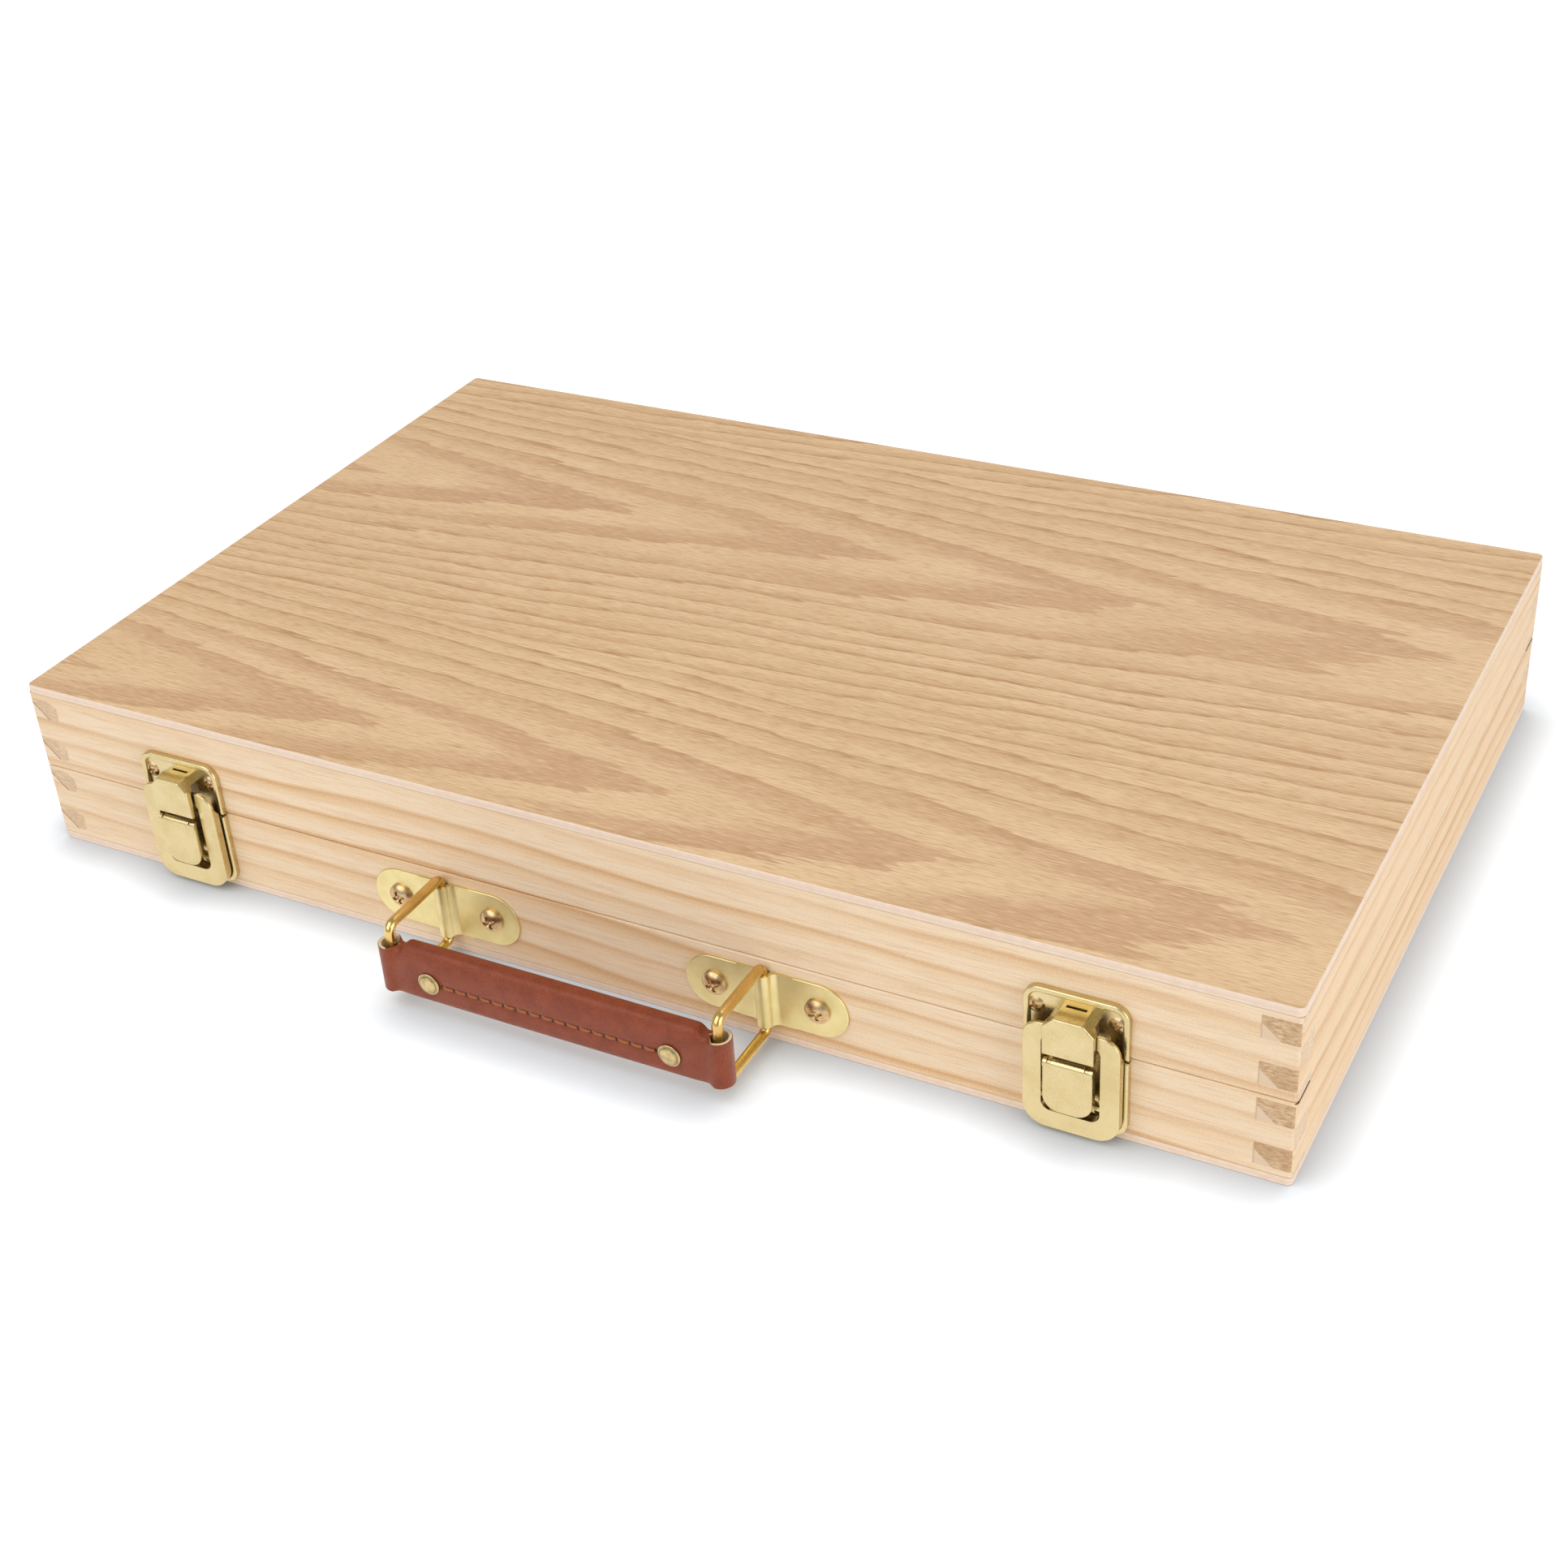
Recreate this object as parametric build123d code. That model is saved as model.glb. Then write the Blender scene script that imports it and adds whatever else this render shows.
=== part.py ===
from build123d import *
import math
import os

# A flat wooden brush box: a base tray and a lid of finger-jointed rails closed by thin panels, two
# butt hinges at the back, two draw latches and a leather-covered swing handle at the front.
# Sizes are in millimetres. X runs along the box, the front faces -Y and Z points up. The origin is
# in the middle of the underside.

# Box
BOX_LENGTH = 394.0
BOX_WIDTH = 243.0
BOX_HEIGHT = 55.2
SEAM_HEIGHT = 26.6  # the middle of the gap between base and lid
SEAM_GAP = 0.3
SEAM_EDGE_RADIUS = 0.5
PANEL_THICKNESS = 2.5
PANEL_CORNER_RADIUS = 1.8
PANEL_EDGE_RADIUS = 0.4
RAIL_THICKNESS = 10.0
RAIL_CORNER_RADIUS = 1.2

# Corner fingers of the side rails, as many in each tray as fit at the pitch
FINGER_HEIGHT = 6.9
FINGER_PITCH = 14.0
LID_FINGER_DROP = 1.9  # from the top of the lid's rails to their first finger
BASE_FINGER_DROP = 0.95  # from the top of the base's rails to their first finger
FINGER_MARGIN = 1.5  # least wood below a tray's last finger
FINGER_HEEL = 2.4  # height of a right-hand finger's blunt inner end
FINGER_SLANT_RUN = 5.0  # how far in the slant of a right-hand finger runs
FINGER_TOE = 0.6  # height of a left-hand finger at the outside of the box
FINGER_NOSE = 1.0  # lower bevel at the inner end of a left-hand finger
FINGER_FLAT = 3.5  # flat underside of a left-hand finger
FINGER_CREST = (3.5, 2.0)  # upper bevel at the inner end of a left-hand finger
FINGER_GAP = 0.3  # open joint under the slant of a left-hand finger

# Butt hinges
HINGE_INSET = 77.0  # hinge centre from the end of the box
HINGE_LENGTH = 38.0
HINGE_OFFSET = 2.3  # pivot line behind the back of the box
LEAF_THICKNESS = 1.0
LEAF_MARGIN = 1.5  # wood left between a leaf and the inside of its rail
LEAF_GAP = 0.1  # between the two leaves when the lid is shut
LEAF_OVERHANG = 0.1
KNUCKLE_RADIUS = 2.1
KNUCKLE_GAP = 0.15
HINGE_PIN_RADIUS = 1.0
HINGE_SCREW_SPACING = 25.0
HINGE_SCREW_INSET = 5.0  # from the back of the box
HINGE_SCREW_HEAD_RADIUS = 2.2
HINGE_SCREW_LENGTH = 8.0

# Small running fits
PIN_CLEARANCE = 0.05

# Draw latches. A lever is drawn down by a link and hooks over a lip folded inside the keeper's cap.
LATCH_INSET = 56.0  # latch centre from the end of the box
LATCH_SHEET = 0.9
LATCH_EDGE_RADIUS = 0.45
PLATE_MARGIN = 1.1  # how far the plates stand out on each side of the lever
PLATE_CORNER_RADIUS = 4.5
BEAD_WIDTH = 1.8
BEAD_HEIGHT = 1.9
BEAD_ROUNDING = 0.6
KEEPER_HEIGHT = 16.1
KEEPER_LIFT = 0.3  # from the seam up to the keeper
CAP_OVERWIDTH = 0.4  # cap wider than the link
CAP_HEIGHT = 11.7
CAP_DEPTH = 7.2  # front of the cap and of the link, out from the wood
CAP_BEVEL = 2.9  # slanted corners of the cap
CAP_BEVEL_ROUNDING = 0.8
CAP_SLOT = (5.5, 0.5)  # slit left above the cap where it was lanced out
CAP_RETURN_DEPTH = 2.2
CAP_HOOK_RELIEF = 0.5  # extra room in the cap's sides where the lever's bar passes
LIP_REACH = 3.15
LIP_SIDE_GAP = 0.4
FOOT_PLATE_DROP = 0.4  # from the seam down to the foot plate
FOOT_PLATE_LIFT = 2.0  # from the underside of the box up to the foot plate
LINK_WIDTH = 13.2
LINK_RETURN_DEPTH = 2.4
LINK_LIFT = 9.3  # lower end of the link above the underside
LINK_CORNER_RADIUS = 4.5
LINK_KNUCKLE_RADIUS = 1.35
LINK_PIVOT_DROP = 2.9  # link pivot below the seam
LINK_PIN_RADIUS = 0.7
EAR_RADIUS = 1.0
EAR_GAP = 0.25  # between an ear and the link's side wall
EAR_NOTCH_GAP = 0.15  # between an ear and its notch in the link's knuckle
EAR_ROOT = 6.0
LEVER_SHEET = 1.0
LEVER_FACE = 4.9  # front of the lever, out from the wood
LEVER_RETURN_DEPTH = 2.5
LEVER_BAR_WIDTH = 5.1
LEVER_TOP_RISE = 7.9  # lever above the seam
LEVER_TOP_BAR = 3.0
LEVER_LIFT = 1.5  # lower end of the lever above the underside
LEVER_BOTTOM_BAR = 5.7
LEVER_WINDOW_GAP = 1.275  # between the link and the lever
LEVER_WINDOW_RADIUS = 2.8
LEVER_TOP_RADIUS = 5.0
LEVER_RETURN_TAPER = 2.0  # how the folded edge runs out at the top
LEVER_BOTTOM_RADIUS = 6.5
LEVER_PIVOT_HEIGHT = 11.0  # lever pivot above the underside
LEVER_PIVOT_DEPTH = 3.4  # lever pivot out from the wood
LEVER_PIN_RADIUS = 0.8
LUG_RADIUS = 1.45
LATCH_SCREW_HEAD_RADIUS = 2.45
LATCH_SCREW_DOME = 0.9
LATCH_SCREW_EDGE = 3.3  # screw centre from the side of its plate
KEEPER_SCREW_DROP = 6.3  # screw centre below the top of the keeper
FOOT_SCREW_LIFT = 10.0  # screw centre above the lower end of the foot plate

# Screws
SCREW_SHANK_RADIUS = 1.2
SCREW_COVER = 2.0  # wood left beyond the end of a screw
SCREW_SINK = 0.9
CROSS_SPAN = 1.15  # length of the cross recess as a share of the head's radius
CROSS_WIDTH = 0.27  # width of its arms as a share of the head's radius
CROSS_PIT = 0.36  # radius of its middle as a share of the head's radius
CROSS_DEPTH = 0.9
CROSS_TURN = 20.0

# Handle: a bracket and a swinging wire loop at each end, and a leather grip between the loops
HANDLE_CENTRE = 1.5  # along X
HANDLE_HEIGHT = 14.8  # centre of the brackets above the underside
BRACKET_SPACING = 102.8
BRACKET_LENGTH = 49.0
BRACKET_HEIGHT = 17.0
BRACKET_SHEET = 0.75
BRACKET_EDGE_RADIUS = 0.3
BRACKET_ROOT_RADIUS = 2.2
BRACKET_SCREW_SPACING = 31.0
BRACKET_SCREW_HEAD_RADIUS = 3.7
BRACKET_SCREW_RIM = 0.7
BRACKET_SCREW_DOME = 2.2
WIRE_RADIUS = 1.5
WIRE_DEPTH = 1.7  # centre of the wire's inner leg, out from the wood
WIRE_BEND_RADIUS = 2.4
WIRE_END_GAP = 0.4
LOOP_LENGTH = 24.6
LOOP_HEIGHT = 21.8
LOOP_SAG = 0.2  # how much lower the loops hang than the brackets
GRIP_CLEARANCE = 0.3
GRIP_DEPTH = 7.0
GRIP_RISE = 16.7
GRIP_MIDDLE_LENGTH = 94.0
GRIP_EDGE_RADIUS = 3.2
TAB_RISE = 15.0
TAB_RADIUS = 3.8
TAB_EDGE_RADIUS = 1.0
CORE_LENGTH = 84.0
CORE_RISE = 10.0
CORE_DEPTH = 2.6
RIVET_SPACING = 76.0
RIVET_HEIGHT = 12.0  # above the underside of the box
RIVET_HEAD_RADIUS = 3.4
RIVET_HEAD_HEIGHT = 1.1
RIVET_SHANK_RADIUS = 1.4

# Derived levels and widths
BASE_TOP = SEAM_HEIGHT - SEAM_GAP / 2
LID_BOTTOM = SEAM_HEIGHT + SEAM_GAP / 2
HINGE_SPACING = BOX_LENGTH - 2 * HINGE_INSET
LATCH_SPACING = BOX_LENGTH - 2 * LATCH_INSET
EAR_INSIDE = LINK_WIDTH / 2 - LATCH_SHEET - EAR_GAP - LATCH_SHEET
WINDOW_WIDTH = LINK_WIDTH + 2 * LEVER_WINDOW_GAP
LEVER_WIDTH = WINDOW_WIDTH + 2 * LEVER_BAR_WIDTH
PLATE_WIDTH = LEVER_WIDTH + 2 * PLATE_MARGIN
CAP_WIDTH = LINK_WIDTH + CAP_OVERWIDTH
KEEPER_BOTTOM = SEAM_HEIGHT + KEEPER_LIFT
LINK_PIVOT = (CAP_DEPTH - LINK_KNUCKLE_RADIUS, SEAM_HEIGHT - LINK_PIVOT_DROP)
LEVER_PIVOT = (LEVER_PIVOT_DEPTH, LEVER_PIVOT_HEIGHT)
LOOP_CENTRE_HEIGHT = HANDLE_HEIGHT - LOOP_SAG
GRIP_BOTTOM = LOOP_CENTRE_HEIGHT - LOOP_HEIGHT / 2 + WIRE_RADIUS + GRIP_CLEARANCE
GRIP_CENTRE_DEPTH = WIRE_DEPTH + LOOP_LENGTH
SCREW_REACH = RAIL_THICKNESS - SCREW_COVER

# The front fittings are drawn with x across, y up from the underside and z out from the wood. Their
# side views are drawn on SIDE_VIEW, with the distance out from the wood first and the height second.
SIDE_VIEW = Plane(origin=(0, 0, 0), x_dir=(0, 0, 1), z_dir=(-1, 0, 0))


def on_front(centre, shape):
    """Set a fitting drawn in front view on the front of the box."""
    return Plane(origin=(centre, -BOX_WIDTH / 2, 0), x_dir=(1, 0, 0), z_dir=(0, -1, 0)) * shape


def on_back(centre, shape):
    """Shift a fitting of the box's back along X."""
    return Pos(centre, 0, 0) * shape


def across(profile, start, width):
    """Extrude a side view from one place across the fitting to another."""
    return Pos(start + width, 0, 0) * extrude(SIDE_VIEW * profile, width)


def both_sides(profile, inside, thickness):
    """A pair of upright cheeks with the same side view, one on each side of the middle."""
    return across(profile, inside, thickness) + across(profile, -inside - thickness, thickness)


def outline(width, bottom, top, bottom_radius=0.0, top_radius=0.0):
    """A face between two heights, with its lower and its upper corners rounded."""
    face = Pos(0, (bottom + top) / 2) * Rectangle(width, top - bottom)
    if bottom_radius > 0:
        face = fillet(face.vertices().group_by(Axis.Y)[0], bottom_radius)
    if top_radius > 0:
        face = fillet(face.vertices().group_by(Axis.Y)[-1], top_radius)
    return face


def plate_at(face, level, thickness):
    """A plate of the given face, standing on a level and that thick."""
    return extrude(Pos(0, 0, level) * face, thickness)


def screw_blank(head_radius, rim, dome, sink, length):
    """A screw without its recess: the head's widest circle starts at Z = 0, the shank points down."""
    side = Polyline(
        (0, dome), (0, -length), (SCREW_SHANK_RADIUS, -length), (SCREW_SHANK_RADIUS, -sink), (head_radius, 0)
    )
    if rim > 0:
        side += Line((head_radius, 0), (head_radius, rim))
    if dome > rim:
        side += TangentArc((0, dome), (head_radius, rim), tangent=(1, 0))
    else:
        side += Line((head_radius, rim), (0, dome))
    return revolve(Plane.XZ * make_face(side), Axis.Z)


def cross_cut(blank, head_radius, dome):
    """Cut the cross recess, with its pit in the middle, into a screw's head."""
    place = Pos(0, 0, dome) * Rot(0, 0, CROSS_TURN)
    arm = Box(head_radius * CROSS_SPAN, head_radius * CROSS_WIDTH, 2 * CROSS_DEPTH)
    pit = Cone(0, 2 * head_radius * CROSS_PIT, 4 * CROSS_DEPTH)
    return blank - place * (arm + Rot(0, 0, 90) * arm + pit)


def pair(shape, spacing):
    """Two copies of a shape, side by side."""
    return Compound([Pos(side * spacing / 2, 0, 0) * shape for side in (-1, 1)])


# Wood


def finger(side, top, gap=0.0):
    """A side rail's finger through the width of the box, left (-1) or right (1), or its socket."""
    right = [
        (0, 0),
        (RAIL_THICKNESS, 0),
        (RAIL_THICKNESS, FINGER_HEEL),
        (RAIL_THICKNESS - FINGER_SLANT_RUN, FINGER_HEIGHT),
        (0, FINGER_HEIGHT),
    ]
    left = [
        (0, 0),
        (RAIL_THICKNESS - FINGER_CREST[0], 0),
        (RAIL_THICKNESS, FINGER_CREST[1]),
        (RAIL_THICKNESS, FINGER_HEIGHT - FINGER_NOSE),
        (RAIL_THICKNESS - FINGER_NOSE, FINGER_HEIGHT),
        (RAIL_THICKNESS - FINGER_FLAT - gap, FINGER_HEIGHT),
        (0, FINGER_TOE + gap),
    ]
    section = [(side * (BOX_LENGTH / 2 - x), top - drop) for x, drop in (right if side > 0 else left)]
    return extrude(Plane.XZ * Polygon(*section, align=None), BOX_WIDTH / 2, both=True)


def finger_tops(bottom, top, drop):
    """Upper edges of the fingers of a tray's rails, from the top down."""
    room = top - drop - FINGER_HEIGHT - FINGER_MARGIN - bottom
    return [top - drop - step * FINGER_PITCH for step in range(int(room // FINGER_PITCH) + 1)]


def tray_block(bottom, top, seam_row):
    """The rounded block that a tray's rails fill, with its upper (-1) or lower (0) edge softened."""
    face = RectangleRounded(BOX_LENGTH, BOX_WIDTH, RAIL_CORNER_RADIUS)
    block = plate_at(face, bottom, top - bottom)
    return fillet(block.edges().group_by(Axis.Z)[seam_row], SEAM_EDGE_RADIUS)


def rails(bottom, top, seam_row, drop):
    """The front, back, left and right rails of a tray, locked together by the side rails' fingers."""
    block = tray_block(bottom, top, seam_row)
    middle = (bottom + top) / 2
    levels = finger_tops(bottom, top, drop)
    pieces = {}
    sockets = []
    for side, name in ((-1, "left"), (1, "right")):
        plank = Box(RAIL_THICKNESS, BOX_WIDTH - 2 * RAIL_THICKNESS, top - bottom)
        rail = Pos(side * (BOX_LENGTH - RAIL_THICKNESS) / 2, 0, middle) * plank
        for level in levels:
            rail += finger(side, level)
            sockets.append(finger(side, level, FINGER_GAP))
        pieces[name] = rail & block
    for side, name in ((-1, "front"), (1, "back")):
        plank = Box(BOX_LENGTH, RAIL_THICKNESS, top - bottom)
        rail = Pos(0, side * (BOX_WIDTH - RAIL_THICKNESS) / 2, middle) * plank
        for socket in sockets:
            rail -= socket
        pieces[name] = rail & block
    return pieces


def panel(bottom, outer_row):
    """A thin panel with rounded corners and a softened outer edge (0 = underside, -1 = top)."""
    sheet = extrude(
        Pos(0, 0, bottom) * RectangleRounded(BOX_LENGTH, BOX_WIDTH, PANEL_CORNER_RADIUS), PANEL_THICKNESS
    )
    return fillet(sheet.edges().group_by(Axis.Z)[outer_row], PANEL_EDGE_RADIUS)


# Butt hinges


def hinge_leaf(flip, segments, hole_radius):
    """A leaf under (flip 1) or over (flip -1) the seam, with knuckles at the given stretches of X."""
    back = BOX_WIDTH / 2
    width = RAIL_THICKNESS - LEAF_MARGIN
    centre = SEAM_HEIGHT - flip * (LEAF_GAP + LEAF_THICKNESS) / 2
    leaf = Pos(0, back - width / 2 + LEAF_OVERHANG / 2, centre) * Box(
        HINGE_LENGTH, width + LEAF_OVERHANG, LEAF_THICKNESS
    )
    pivot = back + HINGE_OFFSET
    for start, end in segments:
        place = Pos((start + end) / 2, pivot, SEAM_HEIGHT) * Rot(0, 90, 0)
        neck = Pos((start + end) / 2, pivot - HINGE_OFFSET / 2, centre) * Box(
            end - start, HINGE_OFFSET, LEAF_THICKNESS
        )
        leaf += neck + place * Cylinder(KNUCKLE_RADIUS, end - start)
        leaf -= place * Cylinder(hole_radius, end - start)
    return leaf


def hinge_screws(flip):
    """The two countersunk screws of a leaf, without and with their recesses."""
    blank = screw_blank(HINGE_SCREW_HEAD_RADIUS, 0, 0, LEAF_THICKNESS, HINGE_SCREW_LENGTH)
    finished = cross_cut(blank, HINGE_SCREW_HEAD_RADIUS, 0)
    level = SEAM_HEIGHT - flip * LEAF_GAP / 2
    place = Pos(0, BOX_WIDTH / 2 - HINGE_SCREW_INSET, level)
    turn = Rot(0, 0, 0) if flip > 0 else Rot(180, 0, 0)
    return [place * pair(turn * one, HINGE_SCREW_SPACING) for one in (blank, finished)]


def hinge():
    """The pieces of one hinge about X = 0, outer knuckles on the base, and what seats in the rails."""
    third = HINGE_LENGTH / 3
    outer = [(-HINGE_LENGTH / 2, -third / 2 - KNUCKLE_GAP), (third / 2 + KNUCKLE_GAP, HINGE_LENGTH / 2)]
    pivot = Pos(0, BOX_WIDTH / 2 + HINGE_OFFSET, SEAM_HEIGHT) * Rot(0, 90, 0)
    base_blanks, base_screws = hinge_screws(1)
    lid_blanks, lid_screws = hinge_screws(-1)
    base_leaf = hinge_leaf(1, outer, HINGE_PIN_RADIUS)
    lid_leaf = hinge_leaf(-1, [(-third / 2, third / 2)], HINGE_PIN_RADIUS + PIN_CLEARANCE)
    pieces = {
        "base_leaf": base_leaf - base_blanks,
        "lid_leaf": lid_leaf - lid_blanks,
        "pin": pivot * Cylinder(HINGE_PIN_RADIUS, HINGE_LENGTH),
        "base_screws": base_screws,
        "lid_screws": lid_screws,
    }
    seats = {"base_back_rail": [base_leaf, base_blanks], "lid_back_rail": [lid_leaf, lid_blanks]}
    return pieces, seats


# Draw latches


def beaded_plate(bottom, top, bottom_radius, top_radius):
    """A screw plate with a raised bead along its sides and its rounded end; the other end is open."""
    face = outline(PLATE_WIDTH, bottom, top, bottom_radius, top_radius)
    inner_bottom = bottom + BEAD_WIDTH if bottom_radius > 0 else bottom - BEAD_WIDTH
    inner_top = top - BEAD_WIDTH if top_radius > 0 else top + BEAD_WIDTH
    inner = outline(
        PLATE_WIDTH - 2 * BEAD_WIDTH,
        inner_bottom,
        inner_top,
        max(bottom_radius - BEAD_WIDTH, 0),
        max(top_radius - BEAD_WIDTH, 0),
    )
    bead = plate_at(face - inner, 0, BEAD_HEIGHT)
    bead = fillet(bead.edges().group_by(Axis.Z)[-1], BEAD_ROUNDING)
    return plate_at(face, 0, LATCH_SHEET) + bead


def cap_outline(bottom, inset):
    """Front view of the cap, or of the room in it at an inset, with slanted upper corners."""
    corner = CAP_BEVEL - inset * (2 - math.sqrt(2))
    face = outline(CAP_WIDTH - 2 * inset, bottom, KEEPER_BOTTOM + CAP_HEIGHT - inset)
    face = chamfer(face.vertices().group_by(Axis.Y)[-1], corner)
    return fillet(face.vertices().filter_by(lambda v: v.Y > bottom + CAP_BEVEL), CAP_BEVEL_ROUNDING)


def cap():
    """The keeper's cap: a front and a wall round its sides and top, with a lip folded up inside."""
    bottom = KEEPER_BOTTOM
    top = bottom + CAP_HEIGHT
    shell = plate_at(cap_outline(bottom, 0), 0, CAP_DEPTH)
    shell = fillet(shell.edges().group_by(Axis.Z)[-1], LATCH_EDGE_RADIUS)
    hollow = plate_at(cap_outline(bottom - CAP_HEIGHT, LATCH_SHEET), 0, CAP_DEPTH - LATCH_SHEET)
    back = CAP_DEPTH - CAP_RETURN_DEPTH
    relief = back + CAP_HOOK_RELIEF
    shoulder = top - CAP_BEVEL
    side_opening = Polygon(
        (LATCH_SHEET, bottom - LATCH_SHEET),
        (back, bottom - LATCH_SHEET),
        (back, bottom + LIP_REACH),
        (relief, bottom + LIP_REACH + CAP_HOOK_RELIEF),
        (relief, shoulder - CAP_RETURN_DEPTH / 2),
        (back - CAP_RETURN_DEPTH / 2, shoulder + LATCH_SHEET),
        (LATCH_SHEET, shoulder + LATCH_SHEET),
        align=None,
    )
    slot_face = Pos(0, top) * Rectangle(CAP_SLOT[0], 2 * CAP_BEVEL)
    fold = (CAP_DEPTH - LATCH_SHEET / 2, bottom + LATCH_SHEET / 2)
    lip_line = Line(fold, (fold[0] - LIP_REACH, fold[1] + LIP_REACH))
    lip_width = CAP_WIDTH - 2 * (LATCH_SHEET + LIP_SIDE_GAP)
    lip = across(trace(lip_line, LATCH_SHEET), -lip_width / 2, lip_width)
    shell -= hollow + across(side_opening, -CAP_WIDTH, 2 * CAP_WIDTH)
    return shell - plate_at(slot_face, LATCH_SHEET, CAP_SLOT[1]) + lip


def keeper(screws):
    """The keeper on the lid: a beaded plate, lanced out in the middle to form the cap."""
    plate = beaded_plate(KEEPER_BOTTOM, KEEPER_BOTTOM + KEEPER_HEIGHT, 0, PLATE_CORNER_RADIUS)
    plate -= plate_at(cap_outline(KEEPER_BOTTOM - CAP_HEIGHT, LATCH_SHEET), 0, LATCH_SHEET)
    return plate + cap() - screws


def foot_plate(screws):
    """The plate on the base, with two ears that carry the link's pin."""
    top = SEAM_HEIGHT - FOOT_PLATE_DROP
    plate = beaded_plate(FOOT_PLATE_LIFT, top, PLATE_CORNER_RADIUS, 0)
    window = outline(2 * EAR_INSIDE, top - EAR_ROOT - 2 * LATCH_SHEET, top - 2 * LATCH_SHEET)
    plate -= plate_at(window, 0, LATCH_SHEET)
    root = Line((LATCH_SHEET / 2, top - EAR_ROOT), (LATCH_SHEET / 2, top))
    eye = Pos(*LINK_PIVOT) * Circle(EAR_RADIUS)
    ears = both_sides(make_hull(eye.edges() + [root]), EAR_INSIDE, LATCH_SHEET)
    pin_hole = Pos(*LINK_PIVOT) * Circle(LINK_PIN_RADIUS)
    return plate + ears - across(pin_hole, -PLATE_WIDTH / 2, PLATE_WIDTH) - screws


def ear_notch():
    """Side view of the room that an ear needs in the knuckle, from rest to the link's widest swing."""
    reach = EAR_RADIUS + EAR_NOTCH_GAP
    span = 2 * LINK_KNUCKLE_RADIUS
    behind = CAP_DEPTH - LATCH_SHEET - LINK_PIVOT[0]
    above = Pos((reach - span) / 2, span / 2) * Rectangle(reach + span, span)
    below = Pos((behind - span) / 2, -span / 2) * Rectangle(behind + span, span)
    return Pos(*LINK_PIVOT) * (Circle(reach) + above + below)


def link():
    """The link: a pressed tongue with a knuckle along its top and a pair of lugs low down."""
    back = CAP_DEPTH - LINK_RETURN_DEPTH
    top = LINK_PIVOT[1]
    tongue = plate_at(outline(LINK_WIDTH, LINK_LIFT, top, LINK_CORNER_RADIUS), back, LINK_RETURN_DEPTH)
    rim = tongue.edges().group_by(Axis.Z)[-1].filter_by(lambda edge: edge.center().Y < top - 1e-3)
    tongue = fillet(rim, LATCH_EDGE_RADIUS)
    inside_radius = LINK_CORNER_RADIUS - LATCH_SHEET
    hollow = outline(LINK_WIDTH - 2 * LATCH_SHEET, LINK_LIFT + LATCH_SHEET, top, inside_radius)
    tongue -= plate_at(hollow, back, LINK_RETURN_DEPTH - LATCH_SHEET)
    tongue += across(Pos(*LINK_PIVOT) * Circle(LINK_KNUCKLE_RADIUS), -LINK_WIDTH / 2, LINK_WIDTH)
    tongue -= both_sides(ear_notch(), EAR_INSIDE - EAR_NOTCH_GAP, LATCH_SHEET + 2 * EAR_NOTCH_GAP)
    eye = Pos(*LEVER_PIVOT) * Circle(LUG_RADIUS)
    root = Pos(back + LATCH_SHEET / 2, LINK_LIFT + LINK_CORNER_RADIUS) * Circle(LATCH_SHEET)
    tongue += both_sides(make_hull(eye.edges() + root.edges()), LINK_WIDTH / 2 - LATCH_SHEET, LATCH_SHEET)
    for pivot, radius in ((LINK_PIVOT, LINK_PIN_RADIUS), (LEVER_PIVOT, LEVER_PIN_RADIUS)):
        hole = Pos(*pivot) * Circle(radius + PIN_CLEARANCE)
        tongue -= across(hole, -LINK_WIDTH, 2 * LINK_WIDTH)
    return tongue


def lever():
    """The lever: a pressed ring whose top bar hooks into the cap, pivoted low down on the link."""
    top = SEAM_HEIGHT + LEVER_TOP_RISE
    back = LEVER_FACE - LEVER_RETURN_DEPTH
    inside = LEVER_FACE - LEVER_SHEET
    sill = LEVER_LIFT + LEVER_BOTTOM_BAR
    face = outline(LEVER_WIDTH, LEVER_LIFT, top, LEVER_BOTTOM_RADIUS, LEVER_TOP_RADIUS)
    ring = plate_at(face, back, LEVER_RETURN_DEPTH)
    ring = fillet(ring.edges().group_by(Axis.Z)[-1], LATCH_EDGE_RADIUS)
    hollow_width = LEVER_WIDTH - 2 * LEVER_SHEET
    hollow = outline(hollow_width, LEVER_LIFT + LEVER_SHEET, top, LEVER_BOTTOM_RADIUS - LEVER_SHEET)
    rim_width = WINDOW_WIDTH + 2 * LEVER_SHEET
    hollow -= outline(rim_width, sill - LEVER_SHEET, top, LEVER_WINDOW_RADIUS + LEVER_SHEET)
    ring -= plate_at(hollow, back, inside - back)
    run_out = Polygon(
        (back, top - LEVER_TOP_RADIUS - LEVER_RETURN_TAPER),
        (inside, top - LEVER_TOP_RADIUS),
        (inside, top),
        (back, top),
        align=None,
    )
    ring -= across(run_out, -LEVER_WIDTH / 2, LEVER_WIDTH)
    window = outline(WINDOW_WIDTH, sill, top - LEVER_TOP_BAR, LEVER_WINDOW_RADIUS, LEVER_WINDOW_RADIUS)
    ring -= plate_at(window, back, LEVER_RETURN_DEPTH)
    eye = Pos(*LEVER_PIVOT) * Circle(LUG_RADIUS)
    root = Line((inside, LEVER_PIVOT_HEIGHT - 2 * LUG_RADIUS), (inside, LEVER_PIVOT_HEIGHT + 2 * LUG_RADIUS))
    ring += both_sides(make_hull(eye.edges() + [root]), WINDOW_WIDTH / 2, LEVER_SHEET)
    return ring - lever_pin()


def link_pin():
    """The pin through the foot plate's ears and the link's knuckle."""
    half = LINK_WIDTH / 2
    return across(Pos(*LINK_PIVOT) * Circle(LINK_PIN_RADIUS), -half, 2 * half)


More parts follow.
